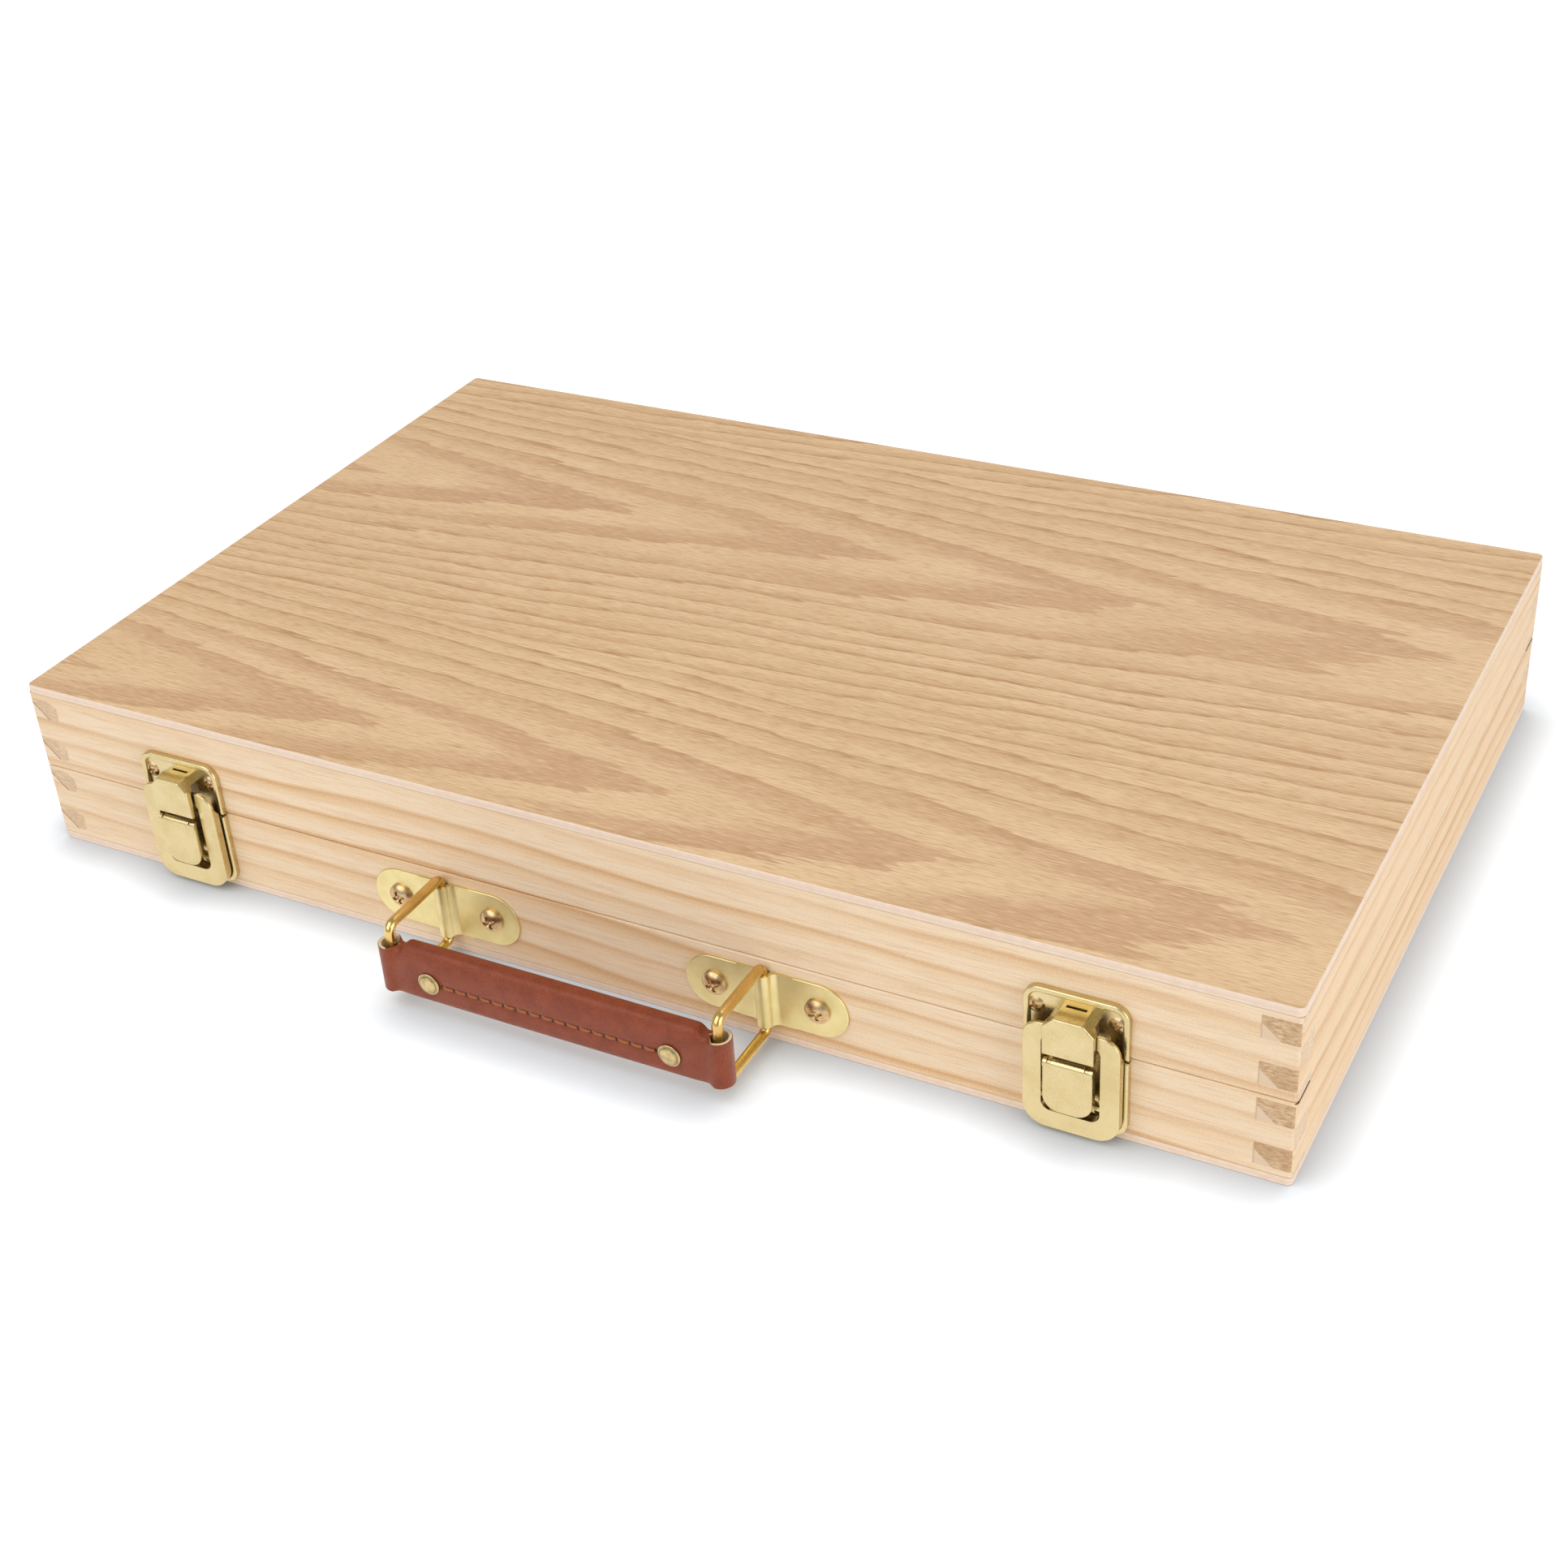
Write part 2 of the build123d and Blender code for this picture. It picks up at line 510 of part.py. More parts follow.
def lever_pin():
    """The pin through the lever's and the link's lugs."""
    half = WINDOW_WIDTH / 2 + LEVER_SHEET
    return across(Pos(*LEVER_PIVOT) * Circle(LEVER_PIN_RADIUS), -half, 2 * half)


def latch():
    """The pieces of one latch in front view about x = 0, and what seats in the rails."""
    length = SCREW_REACH + LATCH_SHEET
    blank = screw_blank(LATCH_SCREW_HEAD_RADIUS, 0, LATCH_SCREW_DOME, SCREW_SINK, length)
    finished = cross_cut(blank, LATCH_SCREW_HEAD_RADIUS, LATCH_SCREW_DOME)
    spacing = PLATE_WIDTH - 2 * LATCH_SCREW_EDGE
    on_keeper = Pos(0, KEEPER_BOTTOM + KEEPER_HEIGHT - KEEPER_SCREW_DROP, LATCH_SHEET)
    on_foot = Pos(0, FOOT_PLATE_LIFT + FOOT_SCREW_LIFT, LATCH_SHEET)
    blanks = pair(blank, spacing)
    screws = pair(finished, spacing)
    pieces = {
        "keeper": keeper(on_keeper * blanks),
        "keeper_screws": on_keeper * screws,
        "foot_plate": foot_plate(on_foot * blanks),
        "foot_screws": on_foot * screws,
        "link": link(),
        "link_pin": link_pin(),
        "lever": lever(),
        "lever_pin": lever_pin(),
    }
    return pieces, {"base_front_rail": [on_foot * blanks], "lid_front_rail": [on_keeper * blanks]}


# Handle


def bracket(blanks):
    """A bracket: an oblong plate with an upright ridge that holds the wire's inner leg."""
    plate = extrude(SlotOverall(BRACKET_LENGTH, BRACKET_HEIGHT), BRACKET_SHEET)
    plate = fillet(plate.edges().group_by(Axis.Z)[-1], BRACKET_EDGE_RADIUS)
    channel_radius = WIRE_RADIUS + PIN_CLEARANCE
    ridge_radius = channel_radius + BRACKET_SHEET
    strip = Pos(0, BRACKET_SHEET / 2) * Rectangle(BRACKET_HEIGHT, BRACKET_SHEET)
    section = strip + Pos(0, WIRE_DEPTH) * Circle(ridge_radius)
    section -= Pos(0, -ridge_radius) * Rectangle(BRACKET_HEIGHT, 2 * ridge_radius)
    on_plate = section.vertices().filter_by(lambda v: abs(v.Y - BRACKET_SHEET) < 1e-3)
    roots = on_plate.filter_by(lambda v: abs(v.X) < ridge_radius)
    section = fillet(roots, BRACKET_ROOT_RADIUS)
    channel = Pos(0, WIRE_DEPTH) * Circle(channel_radius)
    channel += Pos(0, WIRE_DEPTH / 2) * Rectangle(2 * channel_radius, WIRE_DEPTH)
    plan = Plane(origin=(0, 0, 0), x_dir=(1, 0, 0), z_dir=(0, -1, 0))
    body = plate + extrude(plan * section, BRACKET_HEIGHT / 2, both=True)
    body -= extrude(plan * channel, BRACKET_HEIGHT, both=True)
    return Pos(0, HANDLE_HEIGHT, 0) * body - blanks


def handle_end():
    """The pieces that carry one end of the handle, about x = 0, and what seats in the rail."""
    length = SCREW_REACH + BRACKET_SHEET
    blank = screw_blank(BRACKET_SCREW_HEAD_RADIUS, BRACKET_SCREW_RIM, BRACKET_SCREW_DOME, 0, length)
    finished = cross_cut(blank, BRACKET_SCREW_HEAD_RADIUS, BRACKET_SCREW_DOME)
    place = Pos(0, HANDLE_HEIGHT, BRACKET_SHEET)
    blanks = place * pair(blank, BRACKET_SCREW_SPACING)
    pieces = {
        "handle_bracket": bracket(blanks),
        "bracket_screws": place * pair(finished, BRACKET_SCREW_SPACING),
        "handle_loop": wire_loop(),
    }
    return pieces, {"base_front_rail": [blanks]}


def wire_loop():
    """A wire bent into an upright loop, its two ends meeting inside the bracket's ridge."""
    inner = WIRE_DEPTH
    outer = WIRE_DEPTH + LOOP_LENGTH
    high = LOOP_CENTRE_HEIGHT + LOOP_HEIGHT / 2
    low = LOOP_CENTRE_HEIGHT - LOOP_HEIGHT / 2
    start = (inner, LOOP_CENTRE_HEIGHT + WIRE_END_GAP / 2)
    end = (inner, LOOP_CENTRE_HEIGHT - WIRE_END_GAP / 2)
    corners = [(inner, high), (outer, high), (outer, low), (inner, low)]
    path = SIDE_VIEW * FilletPolyline(start, *corners, end, radius=WIRE_BEND_RADIUS)
    return sweep(Plane(path @ 0, z_dir=path % 0) * Circle(WIRE_RADIUS), path=path)


def rivets():
    """The two rivets through the grip, with a domed head at each end."""
    reach = GRIP_DEPTH / 2
    top = reach + RIVET_HEAD_HEIGHT
    shank = [(0, top), (0, 0), (RIVET_SHANK_RADIUS, 0), (RIVET_SHANK_RADIUS, reach)]
    side = Polyline(*shank, (RIVET_HEAD_RADIUS, reach))
    side += TangentArc((0, top), (RIVET_HEAD_RADIUS, reach), tangent=(1, 0))
    half = revolve(Plane.XZ * make_face(side), Axis.Z)
    one = half + Rot(180, 0, 0) * half
    return Pos(0, RIVET_HEIGHT, GRIP_CENTRE_DEPTH) * pair(one, RIVET_SPACING)


def grip_core():
    """The stiff strip sealed inside the leather."""
    centre = (0, GRIP_BOTTOM + GRIP_RISE / 2, GRIP_CENTRE_DEPTH)
    return Pos(*centre) * Box(CORE_LENGTH, CORE_RISE, CORE_DEPTH)


def grip_leather(core, studs):
    """The leather: a padded middle, and a tab at each end folded round the wire's outer leg."""
    plan = Plane(origin=(0, GRIP_BOTTOM, 0), x_dir=(1, 0, 0), z_dir=(0, -1, 0))
    fold = Pos(0, GRIP_CENTRE_DEPTH) * SlotCenterToCenter(BRACKET_SPACING, 2 * TAB_RADIUS)
    tabs = extrude(plan * fold, -TAB_RISE)
    ends = tabs.edges().group_by(Axis.Y)
    tabs = fillet(ends[0] + ends[-1], TAB_EDGE_RADIUS)
    section = Pos(GRIP_CENTRE_DEPTH, GRIP_BOTTOM + GRIP_RISE / 2) * RectangleRounded(
        GRIP_DEPTH, GRIP_RISE, GRIP_EDGE_RADIUS
    )
    middle = across(section, -GRIP_MIDDLE_LENGTH / 2, GRIP_MIDDLE_LENGTH)
    middle_waist = Pos(0, GRIP_BOTTOM, GRIP_CENTRE_DEPTH) * Box(
        GRIP_MIDDLE_LENGTH, 3 * GRIP_RISE, 4 * TAB_RADIUS
    )
    eye = extrude(
        plan * (Pos(0, GRIP_CENTRE_DEPTH) * pair(Circle(WIRE_RADIUS + GRIP_CLEARANCE), BRACKET_SPACING)),
        -TAB_RISE,
    )
    return tabs - middle_waist + middle - eye - core - studs


# Assembly


def build():
    """Every node of the box, by name."""
    nodes = {"base_bottom_panel": panel(0, 0), "lid_top_panel": panel(BOX_HEIGHT - PANEL_THICKNESS, -1)}
    for name, rail in rails(PANEL_THICKNESS, BASE_TOP, -1, BASE_FINGER_DROP).items():
        nodes[f"base_{name}_rail"] = rail
    for name, rail in rails(LID_BOTTOM, BOX_HEIGHT - PANEL_THICKNESS, 0, LID_FINGER_DROP).items():
        nodes[f"lid_{name}_rail"] = rail
    fittings = [
        ("hinge_", on_back, 0, HINGE_SPACING, hinge()),
        ("latch_", on_front, 0, LATCH_SPACING, latch()),
        ("", on_front, HANDLE_CENTRE, BRACKET_SPACING, handle_end()),
    ]
    for kind, place, centre, spacing, (pieces, seats) in fittings:
        for side, name in ((-1, "left"), (1, "right")):
            position = centre + side * spacing / 2
            for piece, shape in pieces.items():
                nodes[f"{name}_{kind}{piece}"] = place(position, shape)
            for rail, cutters in seats.items():
                for cutter in cutters:
                    nodes[rail] -= place(position, cutter)
    core = grip_core()
    studs = rivets()
    nodes["handle_grip_leather"] = on_front(HANDLE_CENTRE, grip_leather(core, studs))
    nodes["handle_grip_core"] = on_front(HANDLE_CENTRE, core - studs)
    nodes["handle_grip_rivets"] = on_front(HANDLE_CENTRE, studs)
    return nodes


def main():
    """Write one STEP file for each node."""
    os.makedirs("parts", exist_ok=True)
    for name, shape in build().items():
        export_step(shape, f"parts/{name}.step")


main()
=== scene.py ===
import logging
import math
from dataclasses import dataclass, field, replace
from enum import Enum

import bmesh
import bpy
from mathutils import Matrix, Vector


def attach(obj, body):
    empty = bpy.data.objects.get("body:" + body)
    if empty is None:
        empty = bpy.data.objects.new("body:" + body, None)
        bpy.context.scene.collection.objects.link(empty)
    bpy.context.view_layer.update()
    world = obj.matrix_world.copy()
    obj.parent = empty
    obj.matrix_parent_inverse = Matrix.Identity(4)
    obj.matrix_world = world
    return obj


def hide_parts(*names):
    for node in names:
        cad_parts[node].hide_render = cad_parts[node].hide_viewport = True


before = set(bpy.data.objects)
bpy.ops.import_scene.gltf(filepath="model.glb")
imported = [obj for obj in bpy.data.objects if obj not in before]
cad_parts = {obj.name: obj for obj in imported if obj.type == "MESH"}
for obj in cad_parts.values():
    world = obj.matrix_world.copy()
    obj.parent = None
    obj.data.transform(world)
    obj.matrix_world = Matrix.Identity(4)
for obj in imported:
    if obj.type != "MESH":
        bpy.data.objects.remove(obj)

LOG = logging.getLogger("brush_box")
MM = 0.001
SCREEN_STEPS = 255
CURVE_TOE = 0.04045
CURVE_TOE_SLOPE = 12.92
CURVE_OFFSET = 0.055
CURVE_POWER = 2.4
ON_CENTRE_LINE = 1e-4
Colour = tuple[float, float, float, float]
Triple = tuple[float, float, float]
Socket = bpy.types.NodeSocket
Material = bpy.types.Material
Value = Socket | Colour | float | None
Place = tuple[Value, Value, Value]


def tone(red: int, green: int, blue: int) -> Colour:
    """Turn a screen colour of 0 to 255 a channel into the linear colour that a shader takes.

    Args:
        red: Red channel.
        green: Green channel.
        blue: Blue channel.

    Returns:
        The linear colour with an alpha of 1.
    """
    linear = []
    for channel in (red, green, blue):
        value = channel / SCREEN_STEPS
        if value <= CURVE_TOE:
            linear.append(value / CURVE_TOE_SLOPE)
        else:
            linear.append(((value + CURVE_OFFSET) / (1 + CURVE_OFFSET)) ** CURVE_POWER)
    return (*linear, 1.0)


class Grain(Enum):
    """The way the wood's fibres run."""

    ALONG_LENGTH = 0
    ALONG_WIDTH = 1


@dataclass(frozen=True)
class Span:
    """A range of a value, and what its two ends become."""

    low: float
    high: float
    at_low: float = 0.0
    at_high: float = 1.0

    def around(self, value: float) -> "Span":
        """The same range, with what its ends become counted from a value."""
        return replace(self, at_low=value + self.at_low, at_high=value + self.at_high)


@dataclass(frozen=True)
class Streak:
    """A noise drawn out along the grain.

    Attributes:
        scale: Its cells per metre along the grain, across it and up.
        amount: How far it spans when it wanders about zero.
        detail: Octaves of finer noise.
        layer: Where it is read, so that two noises differ.
    """

    scale: Triple
    amount: float = 1.0
    detail: float = 2.0
    layer: float = 0.0


class Graph:
    """A material's node tree, with short ways to add what the finishes here need."""

    def __init__(self, name: str, shader: str = "ShaderNodeBsdfPrincipled") -> None:
        """Start an empty material with one shader on its output.

        Args:
            name: The material's name.
            shader: The type of the shader's node.
        """
        self.material = bpy.data.materials.new(name)
        self.material.use_nodes = True
        self.tree = self.material.node_tree
        self.tree.nodes.clear()
        self.shader = self.tree.nodes.new(shader)
        output = self.tree.nodes.new("ShaderNodeOutputMaterial")
        self.tree.links.new(self.shader.outputs[0], output.inputs["Surface"])

    def plug(self, socket: Socket, value: Value) -> None:
        """Link a socket to another node's output, or give it a constant.

        Args:
            socket: The input to fill.
            value: A socket, a constant, or None to leave the input alone.
        """
        if isinstance(value, Socket):
            self.tree.links.new(value, socket)
        elif value is not None:
            socket.default_value = value

    def coordinates(self) -> Socket:
        """The place in the object's own axes, in metres."""
        return self.tree.nodes.new("ShaderNodeTexCoord").outputs["Object"]

    def facing(self) -> tuple[Socket, Socket, Socket]:
        """The parts of the surface's direction in the object's own axes."""
        return self.split(self.tree.nodes.new("ShaderNodeTexCoord").outputs["Normal"])

    def split(self, vector: Socket) -> tuple[Socket, Socket, Socket]:
        """The three parts of a vector.

        Args:
            vector: The vector.

        Returns:
            Its parts.
        """
        node = self.tree.nodes.new("ShaderNodeSeparateXYZ")
        self.plug(node.inputs[0], vector)
        return tuple(node.outputs)

    def stretched(self, place: Place, scale: Triple, shift: float = 0.0) -> Socket:
        """A vector made of three parts, stretched and shifted.

        Args:
            place: The three parts.
            scale: Factor for each part.
            shift: Shift added to every part after that.

        Returns:
            The vector.
        """
        joined = self.tree.nodes.new("ShaderNodeCombineXYZ")
        for socket, value in zip(joined.inputs, place):
            self.plug(socket, value)
        mapping = self.tree.nodes.new("ShaderNodeMapping")
        mapping.inputs["Scale"].default_value = scale
        mapping.inputs["Location"].default_value = (shift, shift, shift)
        self.plug(mapping.inputs["Vector"], joined.outputs[0])
        return mapping.outputs["Vector"]

    def noise(self, vector: Socket, scale: float, detail: float = 2.0) -> Socket:
        """A noise value from 0 to 1.

        Args:
            vector: Where it is read.
            scale: Cells per unit of the vector.
            detail: Octaves of finer noise.

        Returns:
            The value.
        """
        node = self.tree.nodes.new("ShaderNodeTexNoise")
        self.plug(node.inputs["Vector"], vector)
        node.inputs["Scale"].default_value = scale
        node.inputs["Detail"].default_value = detail
        return node.outputs["Fac"]

    def streaks(self, place: Place, streak: Streak, shift: float = 0.0) -> Socket:
        """Noise from 0 to 1, drawn out along the grain."""
        return self.noise(self.stretched(place, streak.scale, shift), 1.0, streak.detail)

    def wander(self, place: Place, streak: Streak, shift: float = 0.0) -> Socket:
        """Noise about zero that spans the streak's amount, drawn out along the grain."""
        reach = streak.amount
        return self.math("MULTIPLY_ADD", self.streaks(place, streak, shift), reach, -reach / 2)

    def cells(self, vector: Socket, scale: float) -> Socket:
        """The distance to the nearest of a field of scattered points.

        Args:
            vector: Where it is read.
            scale: Points per unit of the vector.

        Returns:
            The distance.
        """
        node = self.tree.nodes.new("ShaderNodeTexVoronoi")
        self.plug(node.inputs["Vector"], vector)
        node.inputs["Scale"].default_value = scale
        return node.outputs["Distance"]

    def math(self, operation: str, first: Value, second: Value = None, third: Value = None) -> Socket:
        """The result of a Math node.

        Args:
            operation: The node's operation.
            first: First input.
            second: Second input, where it has one.
            third: Third input, where it has one.

        Returns:
            The result.
        """
        node = self.tree.nodes.new("ShaderNodeMath")
        node.operation = operation
        for socket, value in zip(node.inputs, (first, second, third)):
            self.plug(socket, value)
        return node.outputs[0]

    def scaled(self, value: Value, factor: float) -> Socket:
        """A value times a constant."""
        return self.math("MULTIPLY", value, factor)

    def added(self, first: Value, second: Value) -> Socket:
        """The sum of two values."""
        return self.math("ADD", first, second)

    def less(self, first: Value, second: Value) -> Socket:
        """The first value less the second."""
        return self.math("SUBTRACT", first, second)

    def unsigned(self, value: Value) -> Socket:
        """A value without its sign."""
        return self.math("ABSOLUTE", value)

    def length(self, first: Value, second: Value) -> Socket:
        """The length of the vector whose two parts are given."""
        squares = self.math("MULTIPLY_ADD", first, first, self.math("MULTIPLY", second, second))
        return self.math("SQRT", squares)

    def remap(self, value: Socket, span: Span) -> Socket:
        """A value moved from one range to another, and clamped to it.

        Args:
            value: The value.
            span: Its range, and what the range's ends become.

        Returns:
            The moved value.
        """
        node = self.tree.nodes.new("ShaderNodeMapRange")
        self.plug(node.inputs["Value"], value)
        numbers = (span.low, span.high, span.at_low, span.at_high)
        for name, number in zip(("From Min", "From Max", "To Min", "To Max"), numbers):
            node.inputs[name].default_value = number
        return node.outputs["Result"]

    def ramp(self, value: Socket, positions: tuple[float, ...], colours: tuple[Colour, ...]) -> Socket:
        """A colour ramp.

        Args:
            value: What drives it.
            positions: Where its stops are, at least two.
            colours: The stops' colours.

        Returns:
            The colour.
        """
        node = self.tree.nodes.new("ShaderNodeValToRGB")
        self.plug(node.inputs["Fac"], value)
        elements = node.color_ramp.elements
        for _ in range(len(positions) - len(elements)):
            elements.new(0.5)
        for element, position, colour in zip(elements, positions, colours):
            element.position = position
            element.color = colour
        return node.outputs["Color"]

    def mix(self, factor: Value, first: Value, second: Value) -> Socket:
        """Two colours mixed.

        Args:
            factor: Share of the second colour.
            first: First colour.
            second: Second colour.

        Returns:
            The mixed colour.
        """
        node = self.tree.nodes.new("ShaderNodeMix")
        node.data_type = "RGBA"
        inputs = {socket.identifier: socket for socket in node.inputs}
        self.plug(inputs["Factor_Float"], factor)
        self.plug(inputs["A_Color"], first)
        self.plug(inputs["B_Color"], second)
        return next(socket for socket in node.outputs if socket.identifier == "Result_Color")

    def tinted(self, colour: Value, driver: Socket, span: Span, tint: Value) -> Socket:
        """A colour with as much of another mixed in as a value says over a span."""
        return self.mix(self.remap(driver, span), colour, tint)

    def bump(self, height: Socket, depth: float, strength: float) -> None:
        """Drive the shader's normal by a height.

        Args:
            height: The height, where 1 is the given depth.
            depth: Depth in metres.
            strength: How strongly it tells.
        """
        node = self.tree.nodes.new("ShaderNodeBump")
        node.inputs["Strength"].default_value = strength
        node.inputs["Distance"].default_value = depth
        self.plug(node.inputs["Height"], height)
        self.tree.links.new(node.outputs["Normal"], self.shader.inputs["Normal"])

    def finish(self, **inputs: Value) -> Material:
        """Set the shader's inputs.

        Args:
            **inputs: A value for each input, named with underscores for spaces.

        Returns:
            The finished material.
        """
        for name, value in inputs.items():
            self.plug(self.shader.inputs[name.replace("_", " ")], value)
        return self.material


@dataclass(frozen=True)
class VeneerFinish:
    """Plywood panel faced with matched sheets of flat-cut pine veneer, its plies bare at the edge."""

    name: str
    pale: Colour = tone(237, 202, 158)
    warm: Colour = tone(218, 179, 134)
    dark: Colour = tone(190, 144, 97)
    flat: Colour = tone(210, 167, 128)
    streak: Colour = tone(178, 134, 90)
    lit: Colour = tone(244, 216, 175)
    ply: Colour = tone(240, 219, 200)
    ply_core: Colour = tone(229, 203, 180)
    ply_thickness: float = 0.0025
    ply_scale: float = 420.0
    sheet_width: float = 0.145
    sheet_start: float = -0.041
    heart_share: float = 0.586
    heart_depth: float = 0.0435
    heart_slope: float = 0.067
    ring_width: float = 0.0062
    sway: Streak = Streak((5.0, 1.6, 1.0), 0.016)
    ragged: Streak = Streak((22.0, 14.0, 1.0), 0.5, 3.0)
    uneven: Streak = Streak((3.0, 9.0, 1.0), 0.9, 1.0, layer=3.0)
    jagged: Streak = Streak((26.0, 70.0, 1.0), 0.5, 3.0, layer=5.0)
    patch: Streak = Streak((12.0, 40.0, 1.0), layer=7.0)
    fibre: Streak = Streak((80.0, 2300.0, 1.0))
    pore: Streak = Streak((230.0, 2900.0, 1.0), detail=1.0, layer=9.0)
    steep_stops: tuple[float, ...] = (0.0, 0.3, 0.84, 0.94, 0.97, 1.0)
    flat_stops: tuple[float, ...] = (0.0, 0.35, 0.62, 0.97, 0.985, 1.0)
    steep_span: Span = Span(0.008, 0.034)
    patch_span: Span = Span(0.35, 0.65, 0.0, 0.45)
    dark_fibre_span: Span = Span(0.45, 0.75, 0.0, 0.5)
    pale_fibre_span: Span = Span(0.30, 0.46, 0.45, 0.0)
    dark_pore_span: Span = Span(0.54, 0.76, 0.0, 0.55)
    lit_pore_span: Span = Span(0.26, 0.46, 0.5, 0.0)
    ply_span: Span = Span(0.35, 0.7, 0.0, 0.6)
    core_span: Span = Span(0.12, 0.17, 0.5, 0.0)
    face_span: Span = Span(0.80, 0.92)
    rough_span: Span = Span(0.3, 0.7, 0.44, 0.58)
    shine: float = 0.35
    bump_depth: float = 0.00004
    bump_strength: float = 0.5

    def build(self) -> Material:
        """Make the material.

        Returns:
            The material.
        """
        graph = Graph(self.name)
        place = graph.coordinates()
        x, y, z = graph.split(place)
        face = self.figured(graph, x, y)
        face = graph.tinted(face, self.read(graph, x, y, self.patch), self.patch_span, self.warm)
        fibre = self.read(graph, x, y, self.fibre)
        face = graph.tinted(face, fibre, self.dark_fibre_span, self.dark)
        face = graph.tinted(face, fibre, self.pale_fibre_span, self.pale)
        pores = self.read(graph, x, y, self.pore)
        face = graph.tinted(face, pores, self.dark_pore_span, self.streak)
        face = graph.tinted(face, pores, self.lit_pore_span, self.lit)
        graph.bump(graph.added(fibre, pores), self.bump_depth, self.bump_strength)
        upright = graph.unsigned(graph.facing()[2])
        return graph.finish(
            Base_Color=graph.tinted(self.edge(graph, place, z), upright, self.face_span, face),
            Roughness=graph.remap(fibre, self.rough_span),
            Specular_IOR_Level=self.shine,
        )

    def read(self, graph: Graph, x: Value, across: Value, streak: Streak) -> Socket:
        """The streak's noise from 0 to 1 at a place of the sheet."""
        return graph.streaks((x, across, streak.layer), streak)

    def figured(self, graph: Graph, x: Socket, y: Socket) -> Socket:
        """Draw the growth rings that the veneer's cut lays bare, wide and jagged over the heart.

        Args:
            graph: The material's node tree.
            x: Place along the panel.
            y: Place across it.

        Returns:
            The rings' colour.
        """
        sheet = graph.math("FRACT", graph.math("DIVIDE", graph.less(y, self.sheet_start), self.sheet_width))
        off_heart = graph.scaled(graph.less(sheet, self.heart_share), self.sheet_width)
        off_heart = graph.added(off_heart, graph.wander((x, sheet, self.sway.layer), self.sway))
        depth = graph.math("MULTIPLY_ADD", x, self.heart_slope, self.heart_depth)
        level = graph.scaled(graph.length(off_heart, depth), 1 / self.ring_width)
        for streak in (self.jagged, self.ragged, self.uneven):
            level = graph.added(level, graph.wander((x, sheet, streak.layer), streak))
        ring = graph.math("FRACT", level)
        pale, warm, dark, flat = self.pale, self.warm, self.dark, self.flat
        steep_band = graph.ramp(ring, self.steep_stops, (pale, pale, warm, dark, dark, pale))
        flat_band = graph.ramp(ring, self.flat_stops, (pale, pale, flat, flat, warm, pale))
        return graph.tinted(flat_band, graph.unsigned(off_heart), self.steep_span, steep_band)

    def edge(self, graph: Graph, place: Socket, z: Socket) -> Socket:
        """Draw the bare plies of the panel's edge.

        Args:
            graph: The material's node tree.
            place: The place on the panel.
            z: Its height.

        Returns:
            The plies' colour.
        """
        plies = graph.tinted(self.ply, graph.noise(place, self.ply_scale), self.ply_span, self.ply_core)
        layer = graph.math("FRACT", graph.scaled(z, 1 / self.ply_thickness))
        return graph.tinted(plies, graph.unsigned(graph.less(layer, 0.5)), self.core_span, self.ply_core)


